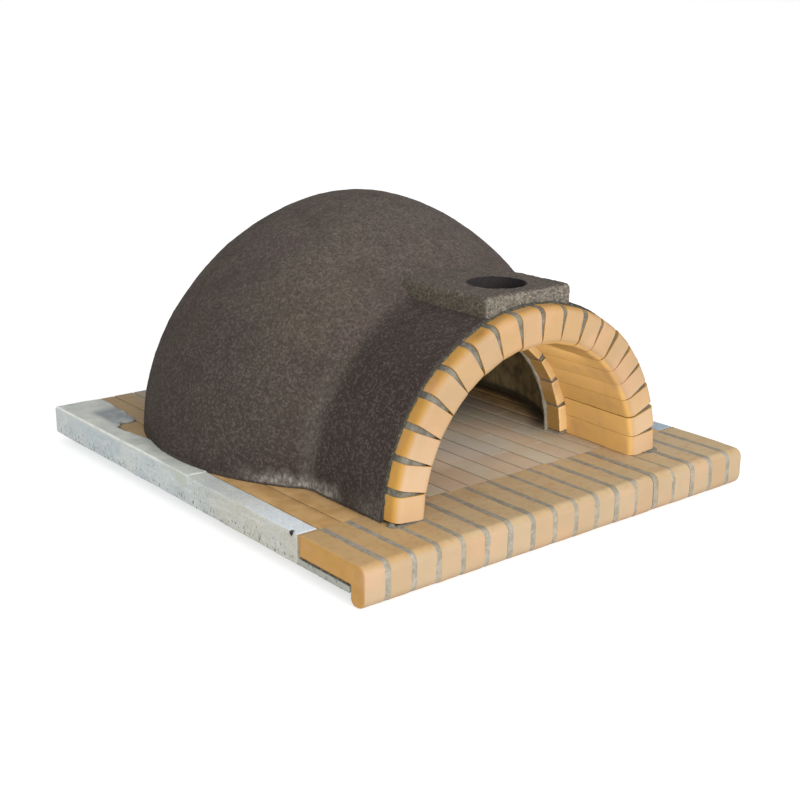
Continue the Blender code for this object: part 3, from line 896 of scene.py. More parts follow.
@dataclass(frozen=True)
class GranularRender:
    """Lightweight aggregate render, floated open: dark brown grey grains with paler ones among them.

    The eye sees a dull, porous skin that swallows light, olive in patches, with a pale lime crust
    where it meets the floor and in the crease.
    """

    name: str = "aggregate_render_open"
    body: str = "#423835"
    olive: str = "#463F36"
    plum: str = "#3A312D"
    top_light: str = "#59524D"
    dark: str = "#2A2423"
    pale: str = "#766C64"
    vestibule_shade: str = "#302724"
    left_shade: str = "#383630"
    crust: str = "#89867F"
    grain: float = 4.4 * MM  # real grains are 3 to 6 mm

    def make(self) -> Material:
        """Build the material."""
        made = Finish(self.name, roughness=0.97, specular=0.1)
        colour = made.add(
            Knot.MIX,
            made.add(Knot.RAMP, made.add(Knot.NOISE, per(170 * MM), 3.0), 0.38, 0.64),
            self.body,
            self.olive,
        )
        # Painted shade: the vestibule's render is painted darker, as it turns away from the light.
        ahead = made.add(Knot.RAMP, made.y, -0.215, -0.275)
        colour = made.add(Knot.MIX, made.times(ahead, 0.8), colour, self.vestibule_shade)
        # Painted shade: the dome's left side is painted darker, with a green tint.
        colour = made.add(
            Knot.MIX, made.add(Knot.RAMP, made.x, -0.30, -0.50, 0.0, 0.45), colour, self.left_shade
        )
        # Painted light: the upper dome is painted paler, where the light falls on it.
        colour = made.add(
            Knot.MIX, made.add(Knot.RAMP, made.z, 0.28, 0.62, 0.0, 0.4), colour, self.top_light
        )
        colour = made.add(
            Knot.MIX, made.add(Knot.RAMP, made.z, 0.36, 0.12, 0.0, 0.5), colour, self.plum
        )
        light = made.add(Knot.SPLIT, made.add(Knot.TINTS, per(self.grain))).node.outputs
        colour = made.add(
            Knot.MIX, made.add(Knot.RAMP, light[0], 0.0, 1.0, 0.0, 0.42), colour, self.dark
        )
        colour = made.add(
            Knot.MIX, made.add(Knot.RAMP, light[1], 0.45, 1.0, 0.0, 0.2), colour, self.pale
        )
        mottle = made.add(Knot.RAMP, made.add(Knot.NOISE, per(9 * MM), 3.0), 0.42, 0.66, 0.0, 0.14)
        colour = made.add(Knot.MIX, mottle, colour, self.dark)
        cloudy = made.add(
            Knot.RAMP, made.add(Knot.NOISE, per(65 * MM), 4.0, 0.6), 0.45, 0.7, 0.0, 0.28
        )
        colour = made.add(Knot.MIX, cloudy, colour, self.dark)
        upright = made.add(Knot.STRETCH, (1.0, 1.0, 1 / 1.7))
        streak = made.add(
            Knot.RAMP, made.add(Knot.CELLS, per(8 * MM), upright), 0.8, 0.25, 0.4, 1.0
        )
        patchy = made.add(
            Knot.RAMP, made.add(Knot.NOISE, per(11 * MM), 4.0, 0.7), 0.30, 0.55, 0.2, 1.0
        )
        crust = made.times(made.add(Knot.PAINTED, attribute_name="crust"), patchy, streak)
        colour = made.add(Knot.MIX, crust, colour, self.crust)
        height = made.add(Knot.RAMP, made.add(Knot.CELLS, per(self.grain)), 0.0, 0.8, 1.0, 0.0)
        return made.close(colour, height, 1.6 * MM, 0.6)


@dataclass(frozen=True)
class CastAggregate:
    """Aggregate block cast in a form: dark and open on top, paler cement skin on its front."""

    name: str = "aggregate_block_cast"
    body: str = "#4E4640"
    front: str = "#635D54"
    olive: str = "#50493E"
    dark: str = "#2A2523"
    pale: str = "#8B8474"
    soot_and_shade: str = "#262224"
    grain: float = 4 * MM

    def make(self) -> Material:
        """Build the material."""
        made = Finish(self.name, roughness=0.96, specular=0.15)
        ahead = made.add(Knot.RAMP, made.facing_y, -0.45, -0.8)
        top = made.add(Knot.RAMP, made.facing_z, 0.6, 0.3)
        colour = made.add(Knot.MIX, top, self.body, self.olive)
        colour = made.add(Knot.MIX, ahead, colour, self.front)
        light = made.add(Knot.SPLIT, made.add(Knot.TINTS, per(self.grain))).node.outputs
        colour = made.add(
            Knot.MIX, made.add(Knot.RAMP, light[0], 0.1, 1.0, 0.0, 0.55), colour, self.dark
        )
        pale = made.add(Knot.RAMP, light[1], 0.6, 1.0, 0.0, 0.45)
        colour = made.add(
            Knot.MIX,
            made.times(pale, made.add(Knot.RAMP, ahead, 0.0, 1.0, 0.5, 1.0)),
            colour,
            self.pale,
        )
        away = made.off(0.0, LINES.flue_y)
        bore = made.add(Knot.RAMP, away, LINES.flue_radius + 6 * MM, LINES.flue_radius - 1 * MM)
        colour = made.add(Knot.MIX, bore, colour, self.soot_and_shade)
        return made.close(colour, made.add(Knot.CELLS, per(self.grain)), 2.0 * MM, 0.8)


@dataclass(frozen=True)
class SootedRefractory:
    """Refractory lining after a few fires: khaki brown staves, sooty in the joints and overhead, with
    painted shade at its foot.
    """

    name: str = "refractory_lining_fired"
    body: str = "#8C7A56"
    deep: str = "#5E4F38"
    soot_and_shade: str = "#29231B"
    staves: int = 44

    def make(self) -> Material:
        """Build the material."""
        made = Finish(self.name, roughness=0.93, specular=0.15)
        colour = made.add(
            Knot.MIX,
            made.add(Knot.RAMP, made.add(Knot.NOISE, per(45 * MM), 4.0, 0.65), 0.35, 0.65),
            self.body,
            self.deep,
        )
        round_axis = made.add(Knot.SHIFT, (0.0, -LINES.chamber_y, 0.0))
        turn = made.add(Knot.TURN, round_axis)
        stave = made.times(turn, float(self.staves))
        share = made.add(Knot.MATH, stave, operation="FRACT")
        line = made.add(Knot.RAMP, share, 0.10, 0.02, 0.0, 0.35)
        colour = made.add(Knot.MIX, line, colour, self.soot_and_shade)
        # Painted shade: the foot of the wall, where it meets the floor, is painted near black.
        foot = made.add(Knot.RAMP, made.z, LINES.spring + 0.022, LINES.spring + 0.008, 0.0, 0.85)
        colour = made.add(Knot.MIX, foot, colour, self.soot_and_shade)
        above = made.add(Knot.RAMP, made.z, 0.20, 0.42, 0.0, 0.9)
        colour = made.add(Knot.MIX, above, colour, self.soot_and_shade)
        return made.close(colour, made.add(Knot.NOISE, per(6 * MM), 4.0), 1.0 * MM, 0.6)


@dataclass(frozen=True)
class StudioPaper:
    """Seamless white paper on a light table, so that shadows on it stay faint."""

    name: str = "paper_seamless_backlit"
    body: str = "#BABABA"
    glow: float = 0.55

    def make(self) -> Material:
        """Build the material."""
        made = Finish(self.name, roughness=1.0, specular=0.0)
        made.shader.inputs["Base Color"].default_value = to_linear(self.body)
        made.shader.inputs["Emission Color"].default_value = (1.0, 1.0, 1.0, 1.0)
        made.shader.inputs["Emission Strength"].default_value = self.glow
        return made.material


# Sub-assemblies


@dataclass
class BaseSlab:
    """Concrete tray: a rim at each side, a rear edge, and a plate under floor and nosing."""

    finish: Material
    rim: float = 0.049
    height: float = LINES.floor
    tray: float = 0.029
    ledge: float = 0.014
    front: float = -0.5715
    edge: float = 0.003
    grain: float = 2.9 * MM
    bumps: Bumps = ((0.070, 2.0 * MM), (0.012, 0.5 * MM))
    heel_bumps: Bumps = ((0.070, 2.0 * MM), (0.012, 0.9 * MM))
    heel_depth: float = 0.032
    plate_short: float = 0.020
    plate_inset: float = 1.2 * MM
    overlap: float = 0.006
    pits: int = 80
    pit_gap: float = 0.010
    hole: tuple[float, float, float] = (-0.5415, -0.3905, 0.0590)
    hole_size: tuple[float, float, float] = (0.0065, 0.0055, 0.0050)
    seed: int = 11

    def bar(self, name: str, low: Sequence[float], high: Sequence[float]) -> Object:
        """Cast one visible side of the tray.

        Args:
            name: The bar's name.
            low: Its lowest corner.
            high: Its highest corner.

        Returns:
            The bar, evenly meshed and roughened.
        """
        bar = add_block(name, low, (high[0], high[1], min(high[2], self.ledge)))
        slice_at(bar, (0, LINES.floor_front, 0), (0, 1, 0))
        if high[2] > self.ledge:
            rise = high[2] - self.ledge
            draw_out(bar, lambda c, n: n.z > 0.5 and c.y > LINES.floor_front, (0, 0, rise))
        round_edges(bar, lambda a, b: min(a.z, b.z) > high[2] - MM, self.edge, 3)
        even_mesh(bar, self.grain)
        roughen(bar, self.bumps)
        return bar

    def pit_cutter(self, side: int) -> Object:
        """Scatter the air pits of a side face, most of them low down, as one cutter.

        Args:
            side: -1 for the left face, 1 for the right one.

        Returns:
            The cutter.
        """
        draw = random.Random(self.seed + side)
        ball = add_start("ball", "ico_sphere", subdivisions=2, radius=1.0)
        pits = []
        taken = [Vector(self.hole[1:])]
        while len(pits) < self.pits:
            radius = draw.uniform(0.9, 2.4) * MM
            y = draw.uniform(-0.40, LINES.rear - 0.012)
            z = abs(draw.gauss(0.0, 0.012)) + 0.005
            if draw.random() < 0.18:
                z = draw.uniform(0.02, self.height - 0.009)
            if min((Vector((y, z)) - other).length for other in taken) < self.pit_gap:
                continue
            taken.append(Vector((y, z)))
            size = Matrix.Diagonal((radius, radius, radius * draw.uniform(1.0, 1.8), 1.0))
            place = Matrix.Translation((side * (LINES.half_width - 0.3 * radius), y, z))
            pits.append(copy_of(ball, f"pit_{len(pits)}", place @ size))
        if side < 0:
            deep = Matrix.Translation(self.hole) @ Matrix.Diagonal((*self.hole_size, 1.0))
            pits.append(copy_of(ball, "pit_deep", deep))
        discard(ball)
        return join(pits, "slab_pits")

    def build(self) -> Object:
        """Cast the slab.

        Returns:
            The slab as one closed mesh.
        """
        half, rear = LINES.half_width, LINES.rear
        left = self.bar("cast_slab", (-half, self.front, 0), (self.rim - half, rear, self.height))
        right = self.bar("right_rim", (half - self.rim, self.front, 0), (half, rear, self.height))
        reach = half - self.rim + self.overlap
        heel = add_block("heel", (-reach, rear - self.heel_depth, 0), (reach, rear, self.tray))
        even_mesh(heel, self.grain)
        roughen(heel, self.heel_bumps)
        corner = (-reach, self.front + self.plate_inset, self.plate_inset)
        plate = add_block("plate", corner, (reach, rear - self.plate_short, self.ledge))
        slice_at(plate, (0, LINES.floor_front, 0), (0, 1, 0))
        lift = self.tray - self.ledge - self.plate_inset
        draw_out(plate, lambda c, n: n.z > 0.5 and c.y > LINES.floor_front, (0, 0, lift))
        cut_away(left, self.pit_cutter(-1))
        cut_away(right, self.pit_cutter(1))
        for other in (right, heel, plate):
            fuse(left, other)
        outward(left)
        # Painted shade: points inside the deep pit are marked, so that its inside is painted near
        # black.
        middle = Vector(self.hole)
        paint(left, "hole", lambda p: fade((p - middle).length, 0.0068, 0.0058))
        return left

    def dress(self) -> None:
        """Build the slab and finish it."""
        finish_piece(self.build(), self.finish, "base_slab", 50.0)


@dataclass
class NosingCourse:
    """Front course of L shaped bricks with a bullnose, and the mortar between and under them."""

    firebrick: Material
    pointing: Material
    count: int = 18
    width: float = 0.049
    plate: float = 0.045
    lip: float = 0.043
    lip_height: float = 0.084
    bullnose: float = 0.020
    lip_front: float = 0.024
    lip_rear: float = 0.014
    end_round: float = 0.010
    worn: float = 3.5 * MM
    edge: float = 0.7 * MM
    step: float = 4.5 * MM
    grain: float = 2.5 * MM
    bumps: Bumps = ((0.055, 1.2 * MM), (0.011, 0.5 * MM))
    mortar_bumps: Bumps = ((0.009, 0.7 * MM),)
    recess: float = 0.2 * MM
    overlap: float = 1.1 * MM
    tail: float = 1.8 * MM
    bed: float = 0.003
    seed: int = 23

    @property
    def joint(self) -> float:
        """Width of a joint between two bricks."""
        return (2 * LINES.half_width - self.count * self.width) / (self.count - 1)

    def ell(self, name: str, half: float, sink: float) -> Object:
        """Shape an L with its bullnose, across the oven's middle.

        Args:
            name: The object's name.
            half: Half its width.
            sink: How far its faces lie behind those of a brick.

        Returns:
            The L as a closed shape.
        """
        low = (-half, LINES.front + sink, LINES.floor - self.plate)
        ell = add_block(name, low, (half, LINES.nosing_rear + self.tail, LINES.floor - sink))
        slice_at(ell, (0, LINES.front + self.lip - sink, 0), (0, 1, 0))
        drop = self.lip_height - self.plate - sink
        at_lip = LINES.front + self.lip
        draw_out(ell, lambda c, n: n.z < -0.5 and c.y < at_lip, (0, 0, -drop))
        front, behind = LINES.front + sink + NEAR, at_lip - sink - NEAR
        top, foot = LINES.floor - sink - NEAR, LINES.floor - self.lip_height + sink + NEAR
        round_edges(
            ell, lambda a, b: max(a.z, b.z) < foot and max(a.y, b.y) < front, self.lip_front, 8
        )
        round_edges(
            ell, lambda a, b: max(a.z, b.z) < foot and min(a.y, b.y) > behind, self.lip_rear, 5
        )
        round_edges(
            ell, lambda a, b: max(a.y, b.y) < front and min(a.z, b.z) > top, self.bullnose - sink, 10
        )
        with editing(ell):
            bpy.ops.mesh.dissolve_limited(angle_limit=math.radians(1))
        return ell

    def bricks(self) -> None:
        """Press one brick and lay its copies from left to right."""
        draw = random.Random(self.seed)
        brick = self.ell("nosing_master", self.width / 2, 0.0)
        first = copy_of(brick, "nosing_first")
        end = copy_of(brick, "nosing_end")
        half, front = self.width / 2 - NEAR, LINES.front + self.bullnose + MM
        round_edges(first, lambda a, b: max(a.x, b.x) < -half, self.worn, 4)
        round_edges(end, lambda a, b: min(a.x, b.x) > half and max(a.y, b.y) < front, self.end_round, 6)
        for shape in (first, end):
            even_mesh(shape, self.grain)
        break_sides(brick, self.width / 2, self.edge)
        slice_even(brick, dict.fromkeys(range(3), self.step))
        for index in range(self.count):
            x = (index - (self.count - 1) / 2) * (self.width + self.joint)
            shift = Vector((draw.gauss(0, 0.5), draw.gauss(0, 0.35), draw.gauss(0, 0.3))) * MM
            turn = Matrix.Rotation(math.radians(draw.gauss(0, 0.1)), 4, "Z")
            place = Matrix.Translation(Vector((x, 0, 0)) + shift) @ turn
            master = {0: first, self.count - 1: end}.get(index, brick)
            copy = copy_of(master, f"nosing_firebrick_{index + 1:02d}", place)
            roughen(copy, self.bumps)
            paint(copy, "tone", min(max(draw.gauss(0.35, 0.3), 0.0), 1.0))
            node = f"nosing_brick_{index + 1:02d}"
            finish_piece(copy, self.firebrick, node, 30.0)
        discard(brick, first, end)

    def mortar(self) -> None:
        """Point one joint, copy it to the others, and lay the bed and the thin rear joint."""
        strip = self.ell("nosing_joint", self.joint / 2 + self.overlap, self.recess)
        slice_even(strip, {0: 3 * MM, 1: 4 * MM, 2: 4 * MM})
        parts = []
        for index in range(self.count - 1):
            x = (index - (self.count - 2) / 2) * (self.width + self.joint)
            parts.append(copy_of(strip, f"joint_{index}", Matrix.Translation((x, 0, 0))))
        discard(strip)
        # Painted shade: the top of each joint is painted a little darker, for the shade of its recess.
        top = LINES.floor - self.recess
        for part in parts:
            paint(part, "grime_and_shade", lambda p: 0.12 * fade(p.z, top - 5 * MM, top))
        reach = LINES.half_width - 0.5 * MM
        seat = LINES.floor - self.plate
        low = (-reach, LINES.front + self.lip + 2 * MM, seat - self.bed)
        bed = add_block("bed", low, (reach, LINES.floor_front, seat + 0.2 * MM))
        low = (-reach, LINES.nosing_rear - 0.4 * MM, seat - self.bed)
        rear = add_block("rear", low, (reach, LINES.floor_front, LINES.floor - 0.6 * MM))
        slice_even(bed, {0: 6 * MM, 1: 6 * MM})
        slice_even(rear, {0: 3 * MM, 2: 4 * MM})
        # Painted shade: the bed is painted dark all over, for the shade in the gap under the bricks.
        paint(bed, "grime_and_shade", 1.0)
        paint(rear, "dust", lambda p: fade(p.z, seat, LINES.floor - 4 * MM))
        mortar = join([*parts, bed, rear], "nosing_pointing")
        roughen(mortar, self.mortar_bumps)
        finish_piece(mortar, self.pointing, "nosing_mortar")

    def dress(self) -> None:
        """Lay the course and finish it."""
        self.bricks()
        self.mortar()


@dataclass
class Hearth:
    """Floor of bricks in columns and running bond, on a mortar bed that fills their joints."""

    paving: Material
    bedding: Material
    columns: int = 18
    length: float = 0.220
    thickness: float = 0.030
    joint: float = 3.3 * MM
    butt: float = 0.6 * MM
    joint_depth: float = 2.8 * MM
    bond: float = 0.5
    front: float = -0.4146
    edge: float = 0.7 * MM
    bumps: Bumps = ((0.030, 0.7 * MM),)
    bed_low: float = 0.0293
    bed_bumps: Bumps = ((0.020, 1.0 * MM),)
    seed: int = 37

    @property
    def pitch(self) -> float:
        """Distance from column to column."""
        return 2 * LINES.floor_half / self.columns

    def brick(self) -> Object:
        """Shape one full brick, with its front left corner at zero.

        Returns:
            The brick, sliced so that it can be roughened.
        """
        low = (0, 0, LINES.floor - self.thickness)
        high = (self.pitch - self.joint, self.length - self.joint, LINES.floor)
        brick = add_block("hearth_master", low, high)
        top = LINES.floor - MM
        round_edges(brick, lambda a, b: min(a.z, b.z) > top and abs(a.y - b.y) > MM, self.edge, 2)
        slice_even(brick, {1: 18 * MM, 0: 13 * MM})
        return brick

    def rows(self, column: int) -> list[tuple[float, float]]:
        """The front and rear of each brick of a column.

        Args:
            column: The column's number from the left.

        Returns:
            Pairs of Y, joints left out.
        """
        first = self.length * (1 - self.bond * ((column + 1) % 2))
        cuts = [self.front]
        place = LINES.floor_front + first
        while place < LINES.rear - 0.03:
            cuts.append(place)
            place += self.length
        cuts.append(LINES.rear + self.butt / 2)
        half = self.butt / 2
        spans = [(a + half, b - half) for a, b in zip(cuts, cuts[1:])]
        return [(self.front, spans[0][1]), *spans[1:]]

    def bricks(self) -> None:
        """Lay every column and join the bricks into one floor."""
        draw = random.Random(self.seed)
        master = self.brick()
        full = self.length - self.joint
        laid = []
        for column in range(self.columns):
            x = -LINES.floor_half + column * self.pitch + self.joint / 2
            for start, stop in self.rows(column):
                shift = Vector((draw.gauss(0, 0.25), 0, draw.gauss(-0.3, 0.2))) * MM
                copy = copy_of(master, f"hearth_{len(laid)}")
                share = (stop - start) / full
                reshape(copy, lambda p, s=share: Vector((p.x, p.y * s, p.z)))
                tilt = Matrix.Rotation(math.radians(draw.gauss(0, 0.12)), 4, "Y")
                place = Matrix.Translation(Vector((x, start, 0)) + shift) @ tilt
                copy.data.transform(place)
                paint(copy, "tone", draw.random())
                laid.append(copy)
        discard(master)
        floor = join(laid, "hearth_bricks")
        roughen(floor, self.bumps)
        finish_piece(floor, self.paving, "floor_bricks")

    def bed(self) -> None:
        """Spread the bed, up to a little below the bricks' faces."""
        reach = LINES.floor_half - 1.5 * MM
        low = (-reach, LINES.floor_front + MM, self.bed_low)
        high = (reach, LINES.rear - 2.5 * MM, LINES.floor - self.joint_depth)
        bed = add_block("hearth_bed", low, high)
        slice_even(bed, {0: 12 * MM, 1: 12 * MM})
        roughen(bed, self.bed_bumps)
        finish_piece(bed, self.bedding, "floor_bed")

    def dress(self) -> None:
        """Lay the hearth and finish it."""
        self.bricks()
        self.bed()


@dataclass(frozen=True)
class Turn:
    """Where a brick of a half ring stands: its angle left of the crown, and its share of the ring."""

    angle: float
    pitch: float

    @property
    def joint(self) -> float:
        """Angle left of the crown of the joint to the next brick on the right."""
        return self.angle - self.pitch / 2

    def width(self, radius: float, joint: float) -> float:
        """Width of a square-sided brick that leaves a joint at a radius."""
        return 2 * radius * math.sin(self.pitch / 2) - joint


def flue_bore() -> Object:
    """A cutter for the smoke way, from under the crown to above the chimney block."""
    low = (0, LINES.flue_y, LINES.spring + LINES.door_inner - LINES.flue_radius)
    return add_drum("flue_bore", LINES.flue_radius, low, (0, LINES.flue_y, LINES.block_top + 0.03), 64)


@dataclass
class BrickRing:
    """Half ring of square-sided bricks, whose joints are wedges."""

    firebrick: Material
    pointing: Material
    count: int = 13
    wide_count: int = 0
    wide_turn: float = 0.0
    inner: float = LINES.door_inner
    joint_inside: float = 0.006
    # Where a wedge starts: its front, its rear and how far it keeps from the bricks' inner faces
    joint_front: float = LINES.door_front + 3 * MM
    joint_rear: float = LINES.door_rear - 2 * MM
    joint_sink: float = 4 * MM
    # How far a wedge reaches into the bricks on its sides, inside and outside
    bite_inside: float = 0.4 * MM
    bite_outside: float = 0.4 * MM
    slices: ClassVar[dict[int, float]] = {2: 4 * MM, 1: 4 * MM}
    corner: float = 0.0

    @property
    def turns(self) -> list[Turn]:
        """The place of each brick, from the left foot to the right."""
        turns = []
        left = math.pi / 2
        narrow = (math.pi - self.wide_turn) / (self.count - self.wide_count)
        for index in range(self.count):
            pitch = self.wide_turn / self.wide_count if index < self.wide_count else narrow
            turns.append(Turn(left - pitch / 2, pitch))
            left -= pitch
        return turns

    def round_front(self, obj: Object, front: float) -> None:
        """Round the upper and lower front edges of what stands at the crown."""
        near = front + NEAR
        round_edges(
            obj, lambda a, b: max(a.y, b.y) < near and abs(a.z - b.z) < NEAR, self.corner, 10
        )

    def wedge(self, turn: Turn) -> Object:
        """Shape one joint at the crown: closed inside, wide outside, rounded like the bricks.

        Args:
            turn: The place of the brick to the joint's left.

        Returns:
            The joint as a closed shape.
        """
        inner, outer = LINES.spring + self.inner + self.joint_sink, LINES.spring + LINES.arch_outer
        half = self.joint_inside / 2 + self.bite_inside
        width = turn.width(self.inner, self.joint_inside)
        reach = LINES.arch_outer * math.sin(turn.pitch / 2) - width / 2 + self.bite_outside
        wedge = add_block("wedge", (-half, self.joint_front, inner), (half, self.joint_rear, outer))
        if self.corner:
            self.round_front(wedge, self.joint_front)
        slice_even(wedge, self.slices)
        for share in (-0.5, 0.0, 0.5):
            slice_at(wedge, (share * half, 0, 0), (1, 0, 0))
        grow = (reach - half) / (outer - inner)
        reshape(wedge, lambda p: Vector((p.x * (1 + grow * (p.z - inner) / half), p.y, p.z)))
        return wedge

    def bricks(self) -> None:
        """Lay the bricks."""
        raise NotImplementedError

    def mortar(self) -> None:
        """Point the joints."""
        raise NotImplementedError

    def dress(self) -> None:
        """Turn the ring and finish it."""
        self.bricks()
        self.mortar()


@dataclass
class FrontArch(BrickRing):
    """Front arch of bricks in two widths with rounded front corners, its mortar coat and its bead."""

    count: int = 19
    wide_count: int = 11
    wide_turn: float = math.radians(110)
    inner: float = LINES.arch_inner
    joint_inside: float = 0.5 * MM
    joint_front: float = LINES.arch_front
    joint_rear: float = LINES.arch_rear
    joint_sink: float = 13 * MM
    bite_inside: float = 0.8 * MM
    bite_outside: float = 0.3 * MM
    slices: ClassVar[dict[int, float]] = {2: 3.5 * MM, 1: 5 * MM}
    corner: float = 0.018
    splay: float = 0.009
    edge: float = 0.6 * MM
    step: float = 4.5 * MM
    bumps: Bumps = ((0.050, 1.2 * MM), (0.011, 0.5 * MM))
    coat: float = 3.2 * MM
    lap: float = 1.0 * MM
    bead: float = 4.0 * MM
    bead_grain: float = 2.2 * MM
    bead_bumps: Bumps = ((0.016, 4.0 * MM),)
    mortar_bumps: Bumps = ((0.008, 1.3 * MM),)
    # Place and size of the lumps of mortar squeezed out at the feet, and their roughness
    lumps: ClassVar[dict[tuple[float, float], tuple[float, float, float]]] = {
        (-0.3795, -0.491): (0.007, 0.011, 0.006),
        (-0.368, -0.5005): (0.013, 0.005, 0.004),
        (-0.345, -0.499): (0.030, 0.006, 0.0025),
        (0.356, -0.4995): (0.022, 0.009, 0.0035),
        (0.376, -0.488): (0.007, 0.016, 0.005),
    }
    lump_bumps: Bumps = ((0.009, 3.0 * MM),)
    seed: int = 41

    def master(self, width: float) -> Object:
        """Press one brick at the crown.

        Args:
            width: The brick's width.

        Returns:
            The brick, evenly sliced.
        """
        low = (-width / 2, LINES.arch_front, LINES.spring + LINES.arch_inner)
        high = (width / 2, LINES.arch_rear, LINES.spring + LINES.arch_outer)
        master = add_block("arch_master", low, high)
        self.round_front(master, LINES.arch_front)
        break_sides(master, width / 2, self.edge)
        slice_even(master, dict.fromkeys(range(3), self.step))
        return master

    def splayed(self, point: Vector) -> Vector:
        """Widen the foot of the right jamb a little towards its rear."""
        off = math.hypot(point.x, point.z - LINES.spring) - LINES.arch_inner
        share = fade(off, 0.045, 0.0) * fade(point.y, LINES.arch_front + 0.03, LINES.arch_rear)
        share *= fade(point.z, 0.24, 0.10) * fade(point.x, 0.0, 0.1)
        return point + Vector((self.splay * share, 0, 0))

    def bricks(self) -> None:
        """Press a brick of each width, turn its copies into the arch and bore the flue."""
        draw = random.Random(self.seed)
        masters: dict[float, Object] = {}
        for index, turn in enumerate(self.turns):
            width = turn.width(LINES.arch_inner, self.joint_inside)
            key = round(width, 5)
            if key not in masters:
                masters[key] = self.master(width)
            shift = Vector((0, draw.gauss(0, 0.7), draw.gauss(0, 0.5))) * MM
            lean = math.radians(draw.gauss(0, 0.06))
            place = about_spring(turn.angle + lean) @ Matrix.Translation(shift)
            copy = copy_of(masters[key], f"arch_firebrick_{index + 1:02d}", place)
            roughen(copy, self.bumps)
            reshape(copy, self.splayed)
            aside = abs(math.sin(turn.angle))
            if aside * LINES.arch_inner - width / 2 < LINES.flue_radius:
                if aside * LINES.arch_outer + width / 2 < LINES.flue_radius:
                    slice_at(copy, (0, LINES.flue_y, 0), (0, 1, 0), Keep.BEHIND)
                cut_away(copy, flue_bore())
            paint(copy, "tone", min(max(draw.gauss(0.3, 0.3), 0.0), 1.0))
            finish_piece(copy, self.firebrick, f"arch_brick_{index + 1:02d}", 30.0)
        discard(*masters.values())

    def ring(self, name: str, low: Sequence[float], high: Sequence[float]) -> Object:
        """Sweep a band of mortar over the arch, from foot to foot.

        Args:
            name: The object's name.
            low: Front Y and inner radius of its section.
            high: Rear Y and outer radius of its section.

        Returns:
            The band as a closed shape.
        """
        ring = add_start(name, "plane", size=1.0)
        span, rise = high[0] - low[0], high[1] - low[1]
        across, along = (low[1] + high[1]) / 2, (low[0] + high[0]) / 2
        reshape(ring, lambda p: Vector((across + p.x * rise, along + p.y * span, LINES.spring)))
        sweep(ring, 150)
        return ring

    def joints(self) -> list[Object]:
        """Point one joint of each width and copy it round the arch.

        Returns:
            The joints.
        """
        draw = random.Random(self.seed + 1)
        masters: dict[float, Object] = {}
        joints = []
        for index, turn in enumerate(self.turns[:-1]):
            if turn.pitch not in masters:
                masters[turn.pitch] = self.wedge(turn)
            # The joints of both haunches are raked out, those of the crown are fuller
            sink = 2.0 + 2.0 * fade(turn.joint, 0.05, 0.7) + 2.6 * fade(turn.joint, -0.2, -0.8)
            sink *= draw.uniform(0.85, 1.15) * MM
            shift = Matrix.Translation((0, sink, -0.35 * sink))
            joint = copy_of(masters[turn.pitch], f"wedge_{index}", about_spring(turn.joint) @ shift)
            raked = 0.45 * fade(turn.joint, -0.25, -0.7)
            inside = LINES.arch_inner + self.joint_sink - 0.35 * sink

            def dark(point: Vector, least: float = raked, low: float = inside) -> float:
                """How dark a joint is painted, as painted shade: its pointed inner end in the gap
                between the bricks, and all of it where it is raked out.
                """
                off = math.hypot(point.x, point.z - LINES.spring) - low
                return max(least, 0.85 * fade(off, 0.03, 0.0))

            paint(joint, "grime_and_shade", dark)
            reshape(joint, self.splayed)
            joints.append(joint)
        discard(*masters.values())
        return joints

    def fillets(self) -> list[Object]:
        """Squeeze a little mortar out at each foot of the arch.

        Returns:
            The lumps.
        """
        fillets = []
        for (x, y), size in self.lumps.items():
            lump = add_start("fillet", "ico_sphere", subdivisions=4, radius=1.0)
            place = Matrix.Translation((x, y, LINES.spring)) @ Matrix.Diagonal((*size, 1.0))
            reshape(lump, lambda p, m=place: m @ p)
            roughen(lump, self.lump_bumps)
            slice_at(lump, (0, 0, LINES.spring - 0.4 * MM), (0, 0, 1), Keep.AHEAD)
            fillets.append(lump)
        return fillets

    def mortar(self) -> None:
        """Point the joints, and lay the coat, its bead and the foot fillets."""
        inside = LINES.arch_outer - self.lap
        front, rear = LINES.render_front + 2 * MM, LINES.arch_rear
        joints = self.joints()
        coat = self.ring("coat", (front, inside), (rear, LINES.arch_outer + self.coat))
        low = (LINES.render_front - self.bead, inside)
        bead = self.ring("bead", low, (LINES.render_front + 3 * MM, LINES.arch_outer + self.bead))
        even_mesh(bead, self.bead_grain)
        roughen(bead, self.bead_bumps)
        # Painted shade: the bead is painted dark all over, for the crease between arch and render.
        paint(bead, "grime_and_shade", 1.0)
        cut_away(coat, flue_bore())
        mortar = join([*joints, coat, bead, *self.fillets()], "arch_pointing")
        roughen(mortar, self.mortar_bumps)
        finish_piece(mortar, self.pointing, "arch_mortar")


